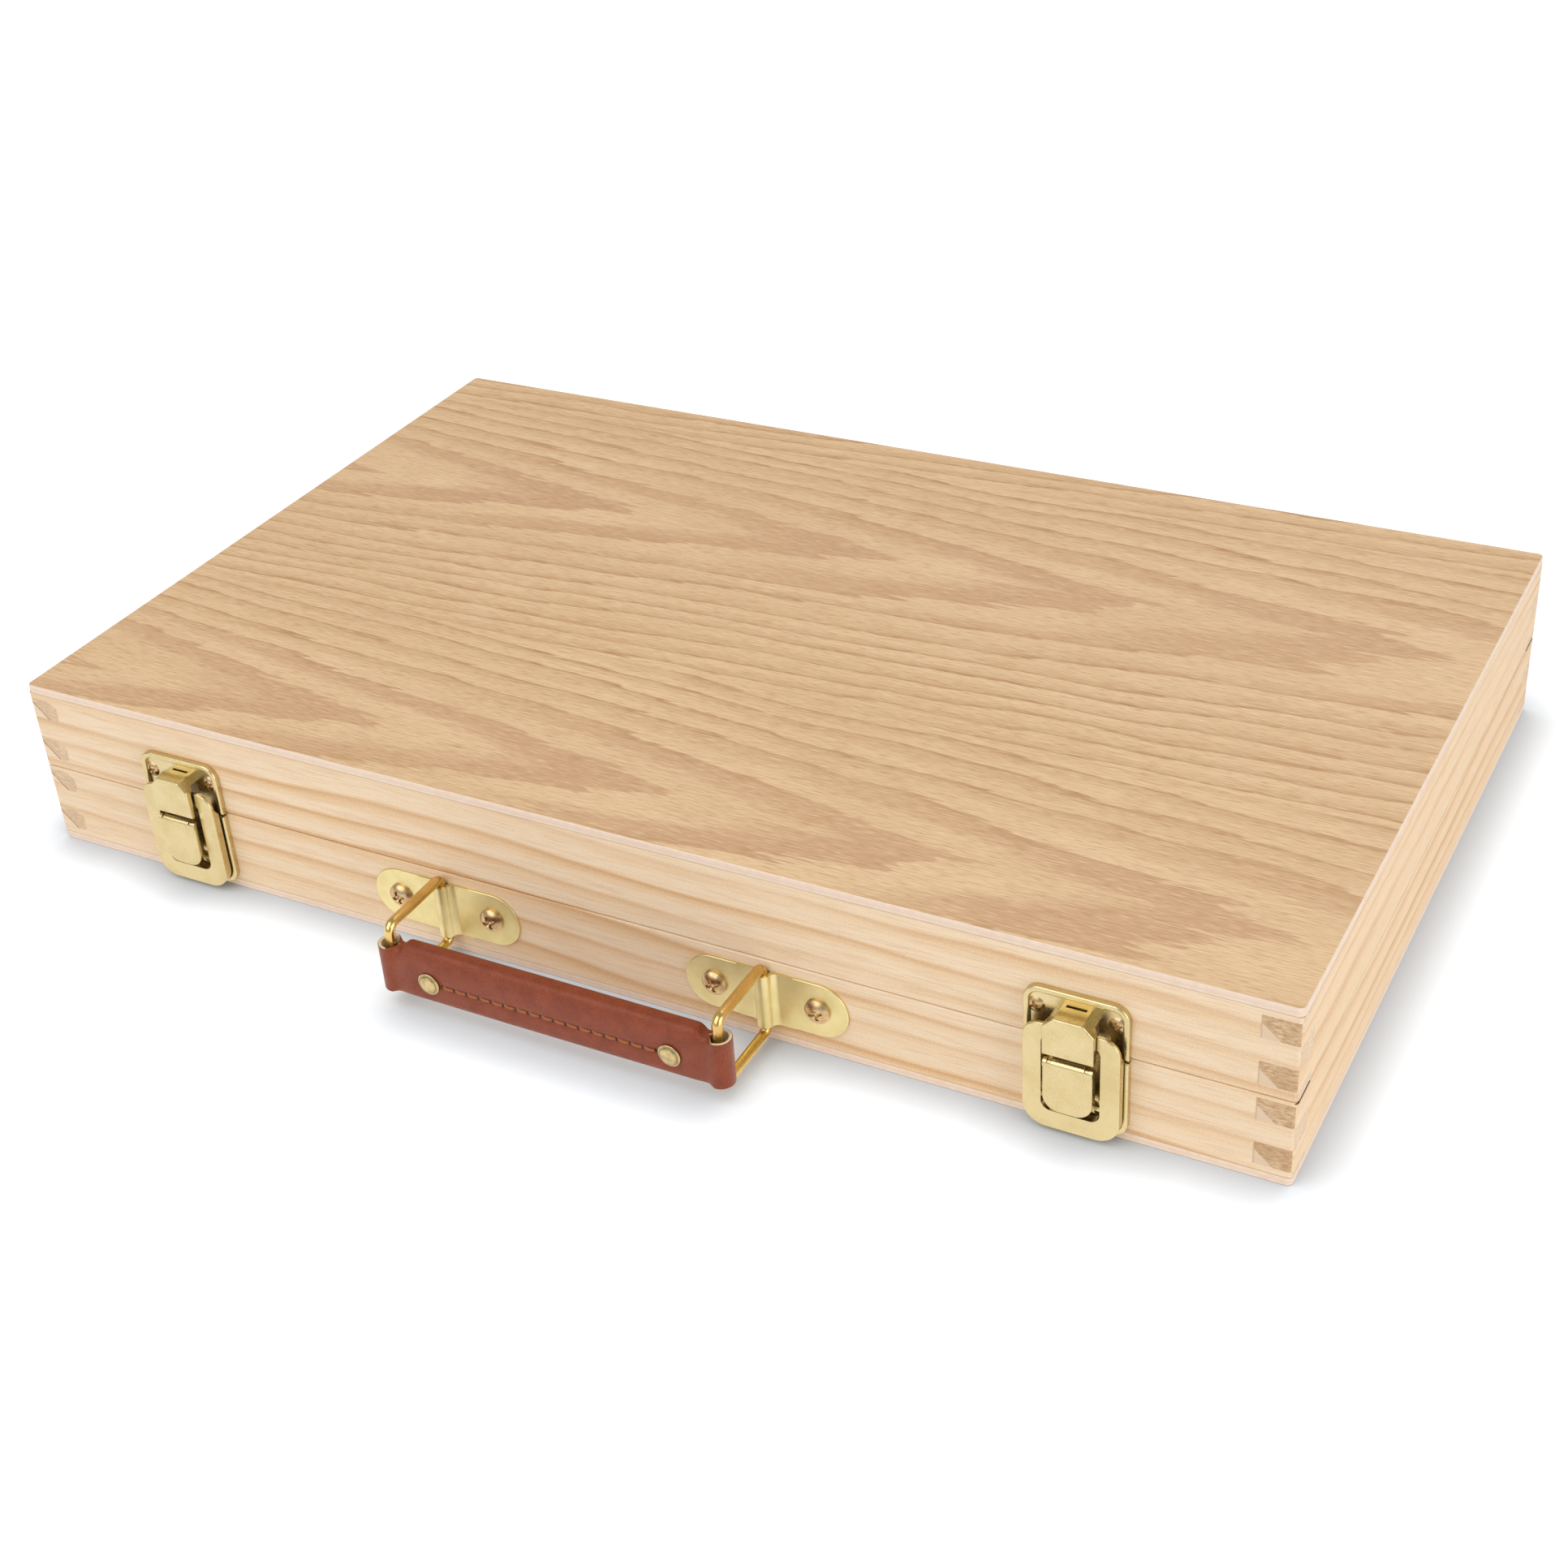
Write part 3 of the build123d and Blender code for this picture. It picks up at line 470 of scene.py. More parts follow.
@dataclass(frozen=True)
class PineFinish:
    """Sanded, unlacquered pine with growth rings through its whole thickness and end grain at its ends."""

    name: str
    grain: Grain
    heart: tuple[float, float] = (-0.105, -0.060)
    heart_tilt: float = 0.016
    ring_width: float = 0.0088
    unevenness: float = 0.6
    shift: float = 0.0
    pale: Colour = tone(240, 216, 184)
    warm: Colour = tone(232, 197, 153)
    dark: Colour = tone(210, 163, 113)
    speck: Colour = tone(252, 238, 220)
    end_pale: Colour = tone(234, 210, 180)
    end_dark: Colour = tone(218, 188, 154)
    filler_level: float | None = None
    filler: Colour = tone(222, 201, 176)
    filler_edge: Colour = tone(190, 158, 122)
    # Painted shade: the dark colour put on the slanted floors deep in the open finger joints, where shade
    # falls.
    cut: Colour = tone(96, 62, 36)
    slant_share: float = 0.3
    finger_pitch: float = 0.014
    finger_room: float = 0.0070
    socket_end: float = 0.187
    glue_levels: tuple[float, float] = (0.0025, 0.0527)
    glue_width: float = 0.00022
    glue_share: float = 0.7
    sway: Streak = Streak((7.0, 9.0, 16.0), 0.013)
    uneven: Streak = Streak((1.5, 60.0, 70.0), detail=1.0, layer=4.0)
    drift: Streak = Streak((6.0, 40.0, 60.0), layer=9.0)
    fibre: Streak = Streak((90.0, 2400.0, 2400.0))
    end_line: Streak = Streak((1.0, 500.0, 1500.0))
    end_patch: Streak = Streak((1.0, 160.0, 120.0), detail=1.0, layer=2.0)
    grit_scale: float = 3200.0
    ring_stops: tuple[float, ...] = (0.0, 0.34, 0.68, 0.86, 0.93, 1.0)
    drift_span: Span = Span(0.34, 0.62, 0.25, 1.0)
    fibre_span: Span = Span(0.45, 0.75, 0.0, 0.42)
    speck_span: Span = Span(0.5, 0.72, 0.0, 0.4)
    grit_span: Span = Span(0.3, 0.46, 0.30, 0.0)
    end_line_span: Span = Span(0.35, 0.65)
    end_patch_span: Span = Span(0.35, 0.65, 0.0, 0.6)
    end_grit_span: Span = Span(0.5, 0.7, 0.0, 0.4)
    end_span: Span = Span(0.72, 0.8)
    filler_grit_span: Span = Span(0.4, 0.62, 0.0, 0.6)
    filler_edge_span: Span = Span(0.0001, 0.0003, 0.5, 0.0)
    filler_fade: float = 0.0002
    rough_span: Span = Span(0.3, 0.7, 0.5, 0.66)
    shine: float = 0.3
    bump_depth: float = 0.00004
    bump_strength: float = 0.45

    def build(self) -> Material:
        """Make the material.

        Returns:
            The material.
        """
        graph = Graph(self.name)
        place = graph.coordinates()
        x, y, z = graph.split(place)
        along_first = (x, y, z) if self.grain is Grain.ALONG_LENGTH else (y, x, z)
        fibre = graph.streaks(along_first, self.fibre)
        grit = graph.noise(place, self.grit_scale)
        side = self.side_grain(graph, along_first, fibre, grit)
        if self.filler_level is not None:
            side = self.filled(graph, side, x, z, grit)
        end_facing = graph.unsigned(graph.facing()[self.grain.value])
        wood = graph.tinted(side, end_facing, self.end_span, self.end_grain(graph, along_first, grit))
        # Painted shade: the slanted socket floors deep in the open finger joints are coloured dark.
        if self.grain is Grain.ALONG_LENGTH:
            wood = graph.mix(self.slanted(graph), wood, self.cut)
        for level in self.glue_levels:
            line = graph.math("COMPARE", z, level, self.glue_width)
            wood = graph.mix(graph.scaled(line, self.glue_share), wood, self.filler_edge)
        graph.bump(graph.added(fibre, grit), self.bump_depth, self.bump_strength)
        return graph.finish(
            Base_Color=wood,
            Roughness=graph.remap(fibre, self.rough_span),
            Specular_IOR_Level=self.shine,
        )

    def side_grain(self, graph: Graph, place: Place, fibre: Socket, grit: Socket) -> Socket:
        """Draw the wood's sides: growth rings about the heart, fibres and fine grit.

        Args:
            graph: The material's node tree.
            place: The place along the grain, across it and up.
            fibre: Noise drawn out along the fibres.
            grit: Fine even noise.

        Returns:
            The sides' colour.
        """
        along, over, z = place
        tilt = graph.math("MULTIPLY_ADD", along, self.heart_tilt, graph.wander(place, self.sway, self.shift))
        up = graph.added(graph.less(z, self.heart[1]), tilt)
        radius = graph.length(graph.less(over, self.heart[0]), up)
        uneven = replace(self.uneven, amount=self.unevenness)
        rings = graph.scaled(radius, 1 / self.ring_width)
        level = graph.added(rings, graph.wander(place, uneven, self.shift + uneven.layer))
        pale, warm, dark = self.pale, self.warm, self.dark
        band = graph.ramp(graph.math("FRACT", level), self.ring_stops, (pale, pale, warm, dark, warm, pale))
        drift = graph.streaks(place, self.drift, self.shift + self.drift.layer)
        side = graph.tinted(pale, drift, self.drift_span, band)
        side = graph.tinted(side, fibre, self.fibre_span, dark)
        side = graph.tinted(side, grit, self.speck_span, self.speck)
        return graph.tinted(side, grit, self.grit_span, warm)

    def end_grain(self, graph: Graph, place: Place, grit: Socket) -> Socket:
        """Draw the wood's ends, where the rings are cut across.

        Args:
            graph: The material's node tree.
            place: The place along the grain, across it and up.
            grit: Fine even noise.

        Returns:
            The ends' colour.
        """
        lines = graph.streaks(place, self.end_line, self.end_line.layer)
        patch = graph.streaks(place, self.end_patch, self.end_patch.layer)
        end = graph.tinted(self.end_pale, lines, self.end_line_span, self.end_dark)
        end = graph.tinted(end, patch, self.end_patch_span, self.end_dark)
        return graph.tinted(end, grit, self.end_grit_span, self.end_pale)

    def slanted(self, graph: Graph) -> Socket:
        """Find the slanted floors of the finger sockets, deep in their open joints, which get painted shade.

        Args:
            graph: The material's node tree.

        Returns:
            1 on a slanted floor and 0 elsewhere.
        """
        across, _, up = graph.facing()
        leaning = graph.math("GREATER_THAN", graph.unsigned(across), self.slant_share)
        rising = graph.math("GREATER_THAN", graph.unsigned(up), self.slant_share)
        return graph.math("MULTIPLY", leaning, rising)

    def filled(self, graph: Graph, side: Socket, x: Socket, z: Socket, grit: Socket) -> Socket:
        """Paint the wood filler in the corners of the right-hand finger sockets.

        Args:
            graph: The material's node tree.
            side: Colour of the plain wood.
            x: Place along the box.
            z: Height.
            grit: Fine noise that breaks up the filler's tone.

        Returns:
            The colour with the filler in it.
        """
        share = graph.math("FRACT", graph.scaled(graph.less(self.filler_level, z), 1 / self.finger_pitch))
        in_rows = graph.math("LESS_THAN", share, self.finger_room / self.finger_pitch)
        in_socket = graph.remap(x, Span(self.socket_end - self.filler_fade, self.socket_end))
        at_edge = graph.remap(graph.unsigned(graph.less(x, self.socket_end)), self.filler_edge_span)
        fill = graph.tinted(self.filler, grit, self.filler_grit_span, self.warm)
        side = graph.mix(graph.math("MULTIPLY", in_rows, in_socket), side, fill)
        return graph.mix(graph.math("MULTIPLY", in_rows, at_edge), side, self.filler_edge)


@dataclass(frozen=True)
class MetalFinish:
    """Plated or bronzed metal, a little uneven and rubbed."""

    name: str
    base: Colour
    deep: Colour
    roughness: float = 0.22
    cloud_scale: float = 140.0
    cloud_detail: float = 3.0
    grit_scale: float = 3600.0
    cloud_span: Span = Span(0.38, 0.66, 0.0, 0.45)
    grit_span: Span = Span(0.56, 0.74, 0.0, 0.4)
    tarnish_span: Span = Span(0.3, 0.7, -0.03, 0.06)
    grit_rough_span: Span = Span(0.3, 0.7, 0.0, 0.07)
    cloud_height: float = 3.0
    bump_depth: float = 0.00002
    bump_strength: float = 0.35
    head_centres: tuple[tuple[float, float], ...] = ()
    rim_radius: float = 0.0027
    rim_span: Span = Span(0.0001, 0.0004, 1.0, 0.0)
    rim_share: float = 0.75
    rim_height: float = -6.0

    def build(self) -> Material:
        """Make the material.

        Returns:
            The material.
        """
        graph = Graph(self.name)
        place = graph.coordinates()
        cloud = graph.noise(place, self.cloud_scale, self.cloud_detail)
        grit = graph.noise(place, self.grit_scale)
        colour = graph.tinted(self.base, cloud, self.cloud_span, self.deep)
        colour = graph.tinted(colour, grit, self.grit_span, self.deep)
        tarnish = graph.remap(cloud, self.tarnish_span.around(self.roughness))
        height = graph.math("MULTIPLY_ADD", cloud, self.cloud_height, grit)
        for centre in self.head_centres:
            x, _, z = graph.split(place)
            reach = graph.length(graph.less(x, centre[0]), graph.less(z, centre[1]))
            rim = graph.remap(graph.unsigned(graph.less(reach, self.rim_radius)), self.rim_span)
            colour = graph.mix(graph.scaled(rim, self.rim_share), colour, self.deep)
            height = graph.math("MULTIPLY_ADD", rim, self.rim_height, height)
        graph.bump(height, self.bump_depth, self.bump_strength)
        rough = graph.added(tarnish, graph.remap(grit, self.grit_rough_span))
        return graph.finish(Base_Color=colour, Metallic=1.0, Roughness=rough)


@dataclass(frozen=True)
class Stitching:
    """Where a row of stitch holes lies, in metres: its pitch, its two ends and its height."""

    pitch: float
    start: float
    end: float
    height: float


@dataclass(frozen=True)
class LeatherFinish:
    """Smooth leather with a fine pebbled grain, with painted shade in its stitch holes where it has any."""

    name: str
    base: Colour = tone(152, 70, 36)
    deep: Colour = tone(107, 43, 19)
    # Painted shade: the dark colour that stands for the shade inside the stitch holes.
    hole: Colour = tone(44, 20, 14)
    roughness: float = 0.34
    stitching: Stitching | None = None
    shine: float = 0.34
    pebble_scale: float = 2900.0
    cloud_scale: float = 240.0
    cloud_detail: float = 3.0
    cloud_span: Span = Span(0.35, 0.7, 0.0, 0.45)
    pebble_span: Span = Span(0.25, 0.7, 0.0, 0.55)
    hole_shade_span: Span = Span(0.00040, 0.00085, 0.95, 0.0)
    hole_margin: float = 0.0004
    rubbed_span: Span = Span(0.3, 0.7, -0.04, 0.08)
    cloud_height: float = 0.5
    bump_depth: float = 0.0001
    bump_strength: float = 0.7

    def build(self) -> Material:
        """Make the material.

        Returns:
            The material.
        """
        graph = Graph(self.name)
        place = graph.coordinates()
        pebble = graph.cells(place, self.pebble_scale)
        cloud = graph.noise(place, self.cloud_scale, self.cloud_detail)
        colour = graph.tinted(self.base, cloud, self.cloud_span, self.deep)
        colour = graph.tinted(colour, pebble, self.pebble_span, self.deep)
        if self.stitching is not None:
            # Painted shade in the stitch holes.
            colour = graph.mix(self.holes(graph, place, self.stitching), colour, self.hole)
        height = graph.less(graph.scaled(cloud, self.cloud_height), pebble)
        graph.bump(height, self.bump_depth, self.bump_strength)
        rough = graph.remap(cloud, self.rubbed_span.around(self.roughness))
        return graph.finish(Base_Color=colour, Roughness=rough, Specular_IOR_Level=self.shine)

    def holes(self, graph: Graph, place: Socket, row: Stitching) -> Socket:
        """Find where the stitch holes' painted shade goes.

        Args:
            graph: The material's node tree.
            place: The place on the leather.
            row: Where the row of holes lies.

        Returns:
            How much painted shade is there, from 0 to 1.
        """
        x, _, z = graph.split(place)
        count = graph.scaled(graph.less(x, row.start), 1 / row.pitch)
        off = graph.less(graph.math("FRACT", graph.added(count, 0.5)), 0.5)
        reach = graph.length(graph.scaled(off, row.pitch), graph.less(z, row.height))
        half = (row.end - row.start) / 2 + self.hole_margin
        inside = graph.math("COMPARE", x, (row.start + row.end) / 2, half)
        return graph.math("MULTIPLY", graph.remap(reach, self.hole_shade_span), inside)


@dataclass(frozen=True)
class ThreadFinish:
    """Waxed twisted thread."""

    name: str
    base: Colour = tone(176, 110, 64)
    deep: Colour = tone(120, 68, 38)
    twist_along: float = 9000.0
    twist_up: float = 7000.0
    twist_span: Span = Span(-1.0, 1.0, 0.0, 0.7)
    roughness: float = 0.6
    shine: float = 0.4
    bump_depth: float = 0.00005
    bump_strength: float = 0.6

    def build(self) -> Material:
        """Make the material.

        Returns:
            The material.
        """
        graph = Graph(self.name)
        x, _, z = graph.split(graph.coordinates())
        turn = graph.math("MULTIPLY_ADD", x, self.twist_along, graph.scaled(z, self.twist_up))
        twist = graph.math("SINE", turn)
        graph.bump(twist, self.bump_depth, self.bump_strength)
        colour = graph.tinted(self.base, twist, self.twist_span, self.deep)
        return graph.finish(Base_Color=colour, Roughness=self.roughness, Specular_IOR_Level=self.shine)


@dataclass(frozen=True)
class Lamp:
    """A square soft lamp that points at the box: its place and side in metres, its power in watts."""

    name: str
    place: Triple
    side: float
    power: float
    target: Triple = (0.0, 0.0, 0.02)

    def hang(self) -> None:
        """Put the lamp in the scene."""
        data = bpy.data.lights.new(self.name, "AREA")
        data.size = self.side
        data.energy = self.power
        lamp = bpy.data.objects.new(self.name, data)
        lamp.location = self.place
        lamp.rotation_euler = (Vector(self.target) - Vector(self.place)).to_track_quat("-Z", "Y").to_euler()
        bpy.context.scene.collection.objects.link(lamp)


@dataclass(frozen=True)
class Studio:
    """The pale floor, the soft lamps and the camera."""

    camera_place: Triple = (0.30703, -0.55018, 0.40404)
    azimuth: float = 29.7039
    elevation: float = 32.9466
    roll: float = -3.9446
    focal_length: float = 54.33
    sensor_width: float = 36.0
    near_limit: float = 0.01
    floor_side: float = 30.0
    floor_albedo: Colour = (0.86, 0.86, 0.86, 1.0)
    seen_albedo: Colour = (0.42, 0.45, 0.485, 1.0)
    seen_glow: float = 0.79
    # Reach and power of the painted contact shadow.
    painted_shadow_reach: float = 0.018
    painted_shadow_power: float = 1.9
    mirrored_glow: float = 0.40
    world_light: float = 0.45
    world_seen: float = 1.0
    lamps: tuple[Lamp, ...] = (
        Lamp("key", (-0.5, -1.25, 1.3), side=1.8, power=18.5),
        Lamp("fill", (1.7, -0.45, 0.55), side=1.2, power=13.0),
        Lamp("back", (0.3, 1.3, 1.4), side=1.4, power=7.0),
    )

    def build(self) -> None:
        """Make the whole studio."""
        self.add_camera()
        self.add_floor()
        self.add_world()
        for lamp in self.lamps:
            lamp.hang()

    def add_camera(self) -> None:
        """Place the camera by its own place, azimuth, elevation and roll."""
        data = bpy.data.cameras.new("camera")
        data.sensor_width = self.sensor_width
        data.lens = self.focal_length
        data.clip_start = self.near_limit
        camera = bpy.data.objects.new("camera", data)
        bpy.context.scene.collection.objects.link(camera)
        turn, lift, roll = (math.radians(angle) for angle in (self.azimuth, self.elevation, self.roll))
        back = Vector((math.sin(turn) * math.cos(lift), -math.cos(turn) * math.cos(lift), math.sin(lift)))
        right = (-back).cross(Vector((0, 0, 1))).normalized()
        up = back.cross(right)
        right_rolled = right * math.cos(roll) + up * math.sin(roll)
        up_rolled = up * math.cos(roll) - right * math.sin(roll)
        axes = Matrix((right_rolled, up_rolled, back)).transposed()
        camera.matrix_world = Matrix.Translation(self.camera_place) @ axes.to_4x4()
        bpy.context.scene.camera = camera

    def add_floor(self) -> None:
        """Lay the floor."""
        mesh = bpy.data.meshes.new("floor")
        form = bmesh.new()
        bmesh.ops.create_grid(form, x_segments=1, y_segments=1, size=self.floor_side / 2)
        form.to_mesh(mesh)
        form.free()
        floor = bpy.data.objects.new("floor", mesh)
        bpy.context.scene.collection.objects.link(floor)
        mesh.materials.append(self.floor_finish())

    def floor_finish(self) -> Material:
        """Make the floor's material, plain white to the camera away from the object's shadow, which is
        partly real and partly painted.

        Returns:
            The material.
        """
        graph = Graph("pale_floor", "ShaderNodeAddShader")
        path = graph.tree.nodes.new("ShaderNodeLightPath")
        seen = path.outputs["Is Camera Ray"]
        diffuse = graph.tree.nodes.new("ShaderNodeBsdfDiffuse")
        graph.plug(diffuse.inputs["Color"], graph.mix(seen, self.floor_albedo, self.seen_albedo))
        # Painted contact shadow: ambient occlusion close to the box dims the glow that the camera sees; the
        # diffuse part keeps the lamps' real shadow.
        openness = graph.tree.nodes.new("ShaderNodeAmbientOcclusion")
        openness.inputs["Distance"].default_value = self.painted_shadow_reach
        clear_of_painted_shadow = graph.math("POWER", openness.outputs["AO"], self.painted_shadow_power)
        mirrored = graph.scaled(path.outputs["Is Glossy Ray"], self.mirrored_glow)
        open_floor = graph.math("MULTIPLY", seen, clear_of_painted_shadow)
        strength = graph.math("MULTIPLY_ADD", open_floor, self.seen_glow, mirrored)
        glow = graph.tree.nodes.new("ShaderNodeEmission")
        graph.plug(glow.inputs["Strength"], strength)
        graph.plug(graph.shader.inputs[0], diffuse.outputs[0])
        graph.plug(graph.shader.inputs[1], glow.outputs[0])
        return graph.material

    def add_world(self) -> None:
        """Give the world an even light, and plain white where it is seen."""
        world = bpy.data.worlds.new("studio")
        bpy.context.scene.world = world
        world.use_nodes = True
        tree = world.node_tree
        background = tree.nodes["Background"]
        background.inputs["Color"].default_value = (1, 1, 1, 1)
        path = tree.nodes.new("ShaderNodeLightPath")
        strength = tree.nodes.new("ShaderNodeMapRange")
        strength.inputs["To Min"].default_value = self.world_light
        strength.inputs["To Max"].default_value = self.world_seen
        tree.links.new(path.outputs["Is Camera Ray"], strength.inputs["Value"])
        tree.links.new(strength.outputs["Result"], background.inputs["Strength"])


@dataclass(frozen=True)
class Grip:
    """The leather wrap of the swing handle, open round the wires at both ends, and its stitches.

    Its lengths are in millimetres and its angles in degrees. A tab is the part round a wire, the middle is
    the part between the tabs, and the crown is the middle's higher upper edge.
    """

    centre_x: float = 1.5
    centre_depth: float = 147.8
    wire_spacing: float = 102.8
    tab_bottom: float = 5.6
    tab_rise: float = 14.7
    tab_radius: float = 3.8
    middle_bottom: float = 5.4
    middle_rise: float = 16.8
    middle_half_depth: float = 3.5
    middle_reach: float = 48.6
    end_slimness: float = 0.05
    blend_length: float = 2.8
    crown_reach: float = 45.4
    crown_fall: float = 2.2
    top_squareness: float = 3.2
    bottom_squareness: float = 7.0
    leather: float = 1.0
    rounding: int = 1
    rows: int = 32
    bend_steps: int = 14
    long_cuts: int = 51
    bend_cuts: int = 3
    bend_length: float = 5.2
    bend_overlap: float = 0.5
    stitch_height: float = 12.0
    stitch_count: int = 17
    stitch_reach: float = 33.8
    stitch_bow: float = 0.75
    stitch_sweep: float = 66.0
    stitch_slant: float = 7.0
    stitch_steps: int = 8
    groove_depth: float = 0.35
    groove_width: float = 0.9
    hole_depth: float = 0.55
    hole_radius: float = 0.6
    thread_radius: float = 0.34
    thread_flatness: float = 1.3
    thread_sides: int = 8
    thread_rise: float = 0.12
    rivet_reach: float = 38.0
    rivet_dimple: float = 0.35
    rivet_dimple_radius: float = 4.6
    press_steepness: float = 2.0
    merge_distance: float = 0.05
    padding: float = 0.9

    def build(self, leather: Material, inner: Material, thread: Material) -> None:
        """Make the wrap and its stitches, and put them on the handle.

        Args:
            leather: Finish of the leather's outer side.
            inner: Finish of its flesh side and cut edges.
            thread: Finish of the stitches.
        """
        wrap = self.make_wrap()
        wrap.data.materials.append(leather)
        wrap.data.materials.append(inner)
        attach(wrap, "handle_grip")
        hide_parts("handle_grip_leather")
        LOG.info("made %s", wrap.name)
        stitches = self.make_stitches()
        stitches.data.materials.append(thread)
        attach(stitches, "handle_grip")
        LOG.info("made %s", stitches.name)

    @property
    def stitch_pitch(self) -> float:
        """Distance from one stitch hole to the next."""
        return 2 * self.stitch_reach / self.stitch_count

    @property
    def stitching(self) -> Stitching:
        """Where the row of stitch holes lies, in metres."""
        start, end = (self.centre_x + side * self.stitch_reach for side in (-1, 1))
        return Stitching(self.stitch_pitch * MM, start * MM, end * MM, self.stitch_height * MM)

    @property
    def rivet_places(self) -> tuple[tuple[float, float], ...]:
        """Where the rivets' middles are, along the box and up, in metres."""
        ends = (self.centre_x - self.rivet_reach, self.centre_x + self.rivet_reach)
        return tuple((end * MM, self.stitch_height * MM) for end in ends)

    def make_wrap(self) -> bpy.types.Object:
        """Make the leather band: a ring round both wires, whose edges fold over the core between them.

        Returns:
            The wrap's object.
        """
        form = bmesh.new()
        bmesh.ops.create_circle(form, segments=4 * self.bend_steps, radius=self.tab_radius)
        half = self.wire_spacing / 2
        waist = [vert for vert in form.verts if abs(vert.co.x) <= ON_CENTRE_LINE]
        for vert in form.verts:
            if abs(vert.co.x) > ON_CENTRE_LINE:
                vert.co.x += math.copysign(half, vert.co.x)
        long_edges = [edge for vert in waist for edge in vert.link_edges]
        bmesh.ops.subdivide_edges(form, edges=long_edges, cuts=self.long_cuts)
        bends = [edge for edge in form.edges if self.in_bend(edge, half)]
        bmesh.ops.subdivide_edges(form, edges=bends, cuts=self.bend_cuts)
        ring = list(form.edges)
        for _ in range(self.rows):
            grown = bmesh.ops.extrude_edge_only(form, edges=ring)["geom"]
            ring = [item for item in grown if isinstance(item, bmesh.types.BMEdge)]
            raised = [item for item in grown if isinstance(item, bmesh.types.BMVert)]
            bmesh.ops.translate(form, verts=raised, vec=(0, 0, 1))
        for vert in form.verts:
            vert.co = self.wrap_place(vert.co)
        bmesh.ops.remove_doubles(form, verts=form.verts, dist=self.merge_distance * MM)
        bmesh.ops.recalc_face_normals(form, faces=form.faces)
        return make_piece("grip_wrap", form, solid=self.leather, subdivide=self.rounding)

    def in_bend(self, edge: bmesh.types.BMEdge, half: float) -> bool:
        """Whether an edge of the band's straight run lies where the leather opens round a wire."""
        start, end = half - self.bend_length, half + self.bend_overlap
        return all(start < abs(vert.co.x) <= end for vert in edge.verts)

    def wrap_place(self, spot: Vector) -> Vector:
        """Move a point of the plain band, whose Z is its row's number, to its place in the wrap.

        Args:
            spot: The point, in millimetres about the grip's centre.

        Returns:
            Its place in metres.
        """
        rise = math.sin(math.pi * (spot.z / self.rows - 0.5))
        squareness = self.top_squareness if rise > 0 else self.bottom_squareness
        spread = max(1 - abs(rise) ** squareness, 0.0) ** (1 / squareness)
        share = self.eased((self.middle_reach + self.blend_length - abs(spot.x)) / self.blend_length)
        raised = self.eased((self.crown_reach + self.crown_fall - abs(spot.x)) / self.crown_fall)
        tab_height = self.tab_bottom + self.tab_rise / 2 * (1 + rise)
        middle_height = self.middle_bottom + self.middle_rise / 2 * (1 + rise)
        height = tab_height + (middle_height - tab_height) * raised
        side = math.copysign(1.0, spot.y)
        depth = abs(spot.y)
        fullness = 1 - self.end_slimness * (spot.x / self.middle_reach) ** 2
        depth += (self.middle_half_depth * spread * fullness - depth) * share
        depth -= self.pressed(spot.x, height) * min(spread * self.press_steepness, 1.0) * share
        return Vector((spot.x + self.centre_x, side * max(depth, 0.0) - self.centre_depth, height)) * MM

    def eased(self, share: float) -> float:
        """A share kept between 0 and 1, with soft ends."""
        kept = min(max(share, 0.0), 1.0)
        return kept * kept * (3 - 2 * kept)

    def pressed(self, x: float, height: float) -> float:
        """How far the stitching and the rivets press the leather in at a place of its face.

        Args:
            x: Place along the grip, from its centre.
            height: Height above the box's underside.

        Returns:
            The depth in millimetres.
        """
        drop = height - self.stitch_height
        run = max(abs(x) - self.stitch_reach, 0.0)
        groove = self.groove_depth * math.exp(-((drop / self.groove_width) ** 2) - run * run)
        number = round((abs(x) + self.stitch_pitch / 2) / self.stitch_pitch)
        off_hole = abs(x) + self.stitch_pitch / 2 - number * self.stitch_pitch
        near = math.hypot(off_hole, drop) / self.hole_radius
        hole = self.hole_depth * math.exp(-near * near - run * run)
        reach = math.hypot(abs(x) - self.rivet_reach, drop) / self.rivet_dimple_radius
        return groove + hole + self.rivet_dimple * math.exp(-(reach**4))

    def make_stitches(self) -> bpy.types.Object:
        """Make the row of stitches on each face: short arcs of thread that dive into the leather.

        Returns:
            The stitches' object.
        """
        form = bmesh.new()
        face_depth = self.middle_half_depth - self.groove_depth + self.thread_rise
        for side in (-1, 1):
            for number in range(self.stitch_count):
                middle = -self.stitch_reach + self.stitch_pitch * (number + 0.5)
                self.add_stitch(form, side, Vector((middle, side * face_depth, self.stitch_height)))
        for vert in form.verts:
            vert.co = (vert.co + Vector((self.centre_x, -self.centre_depth, 0))) * MM
        bmesh.ops.recalc_face_normals(form, faces=form.faces)
        return make_piece("grip_stitches", form)

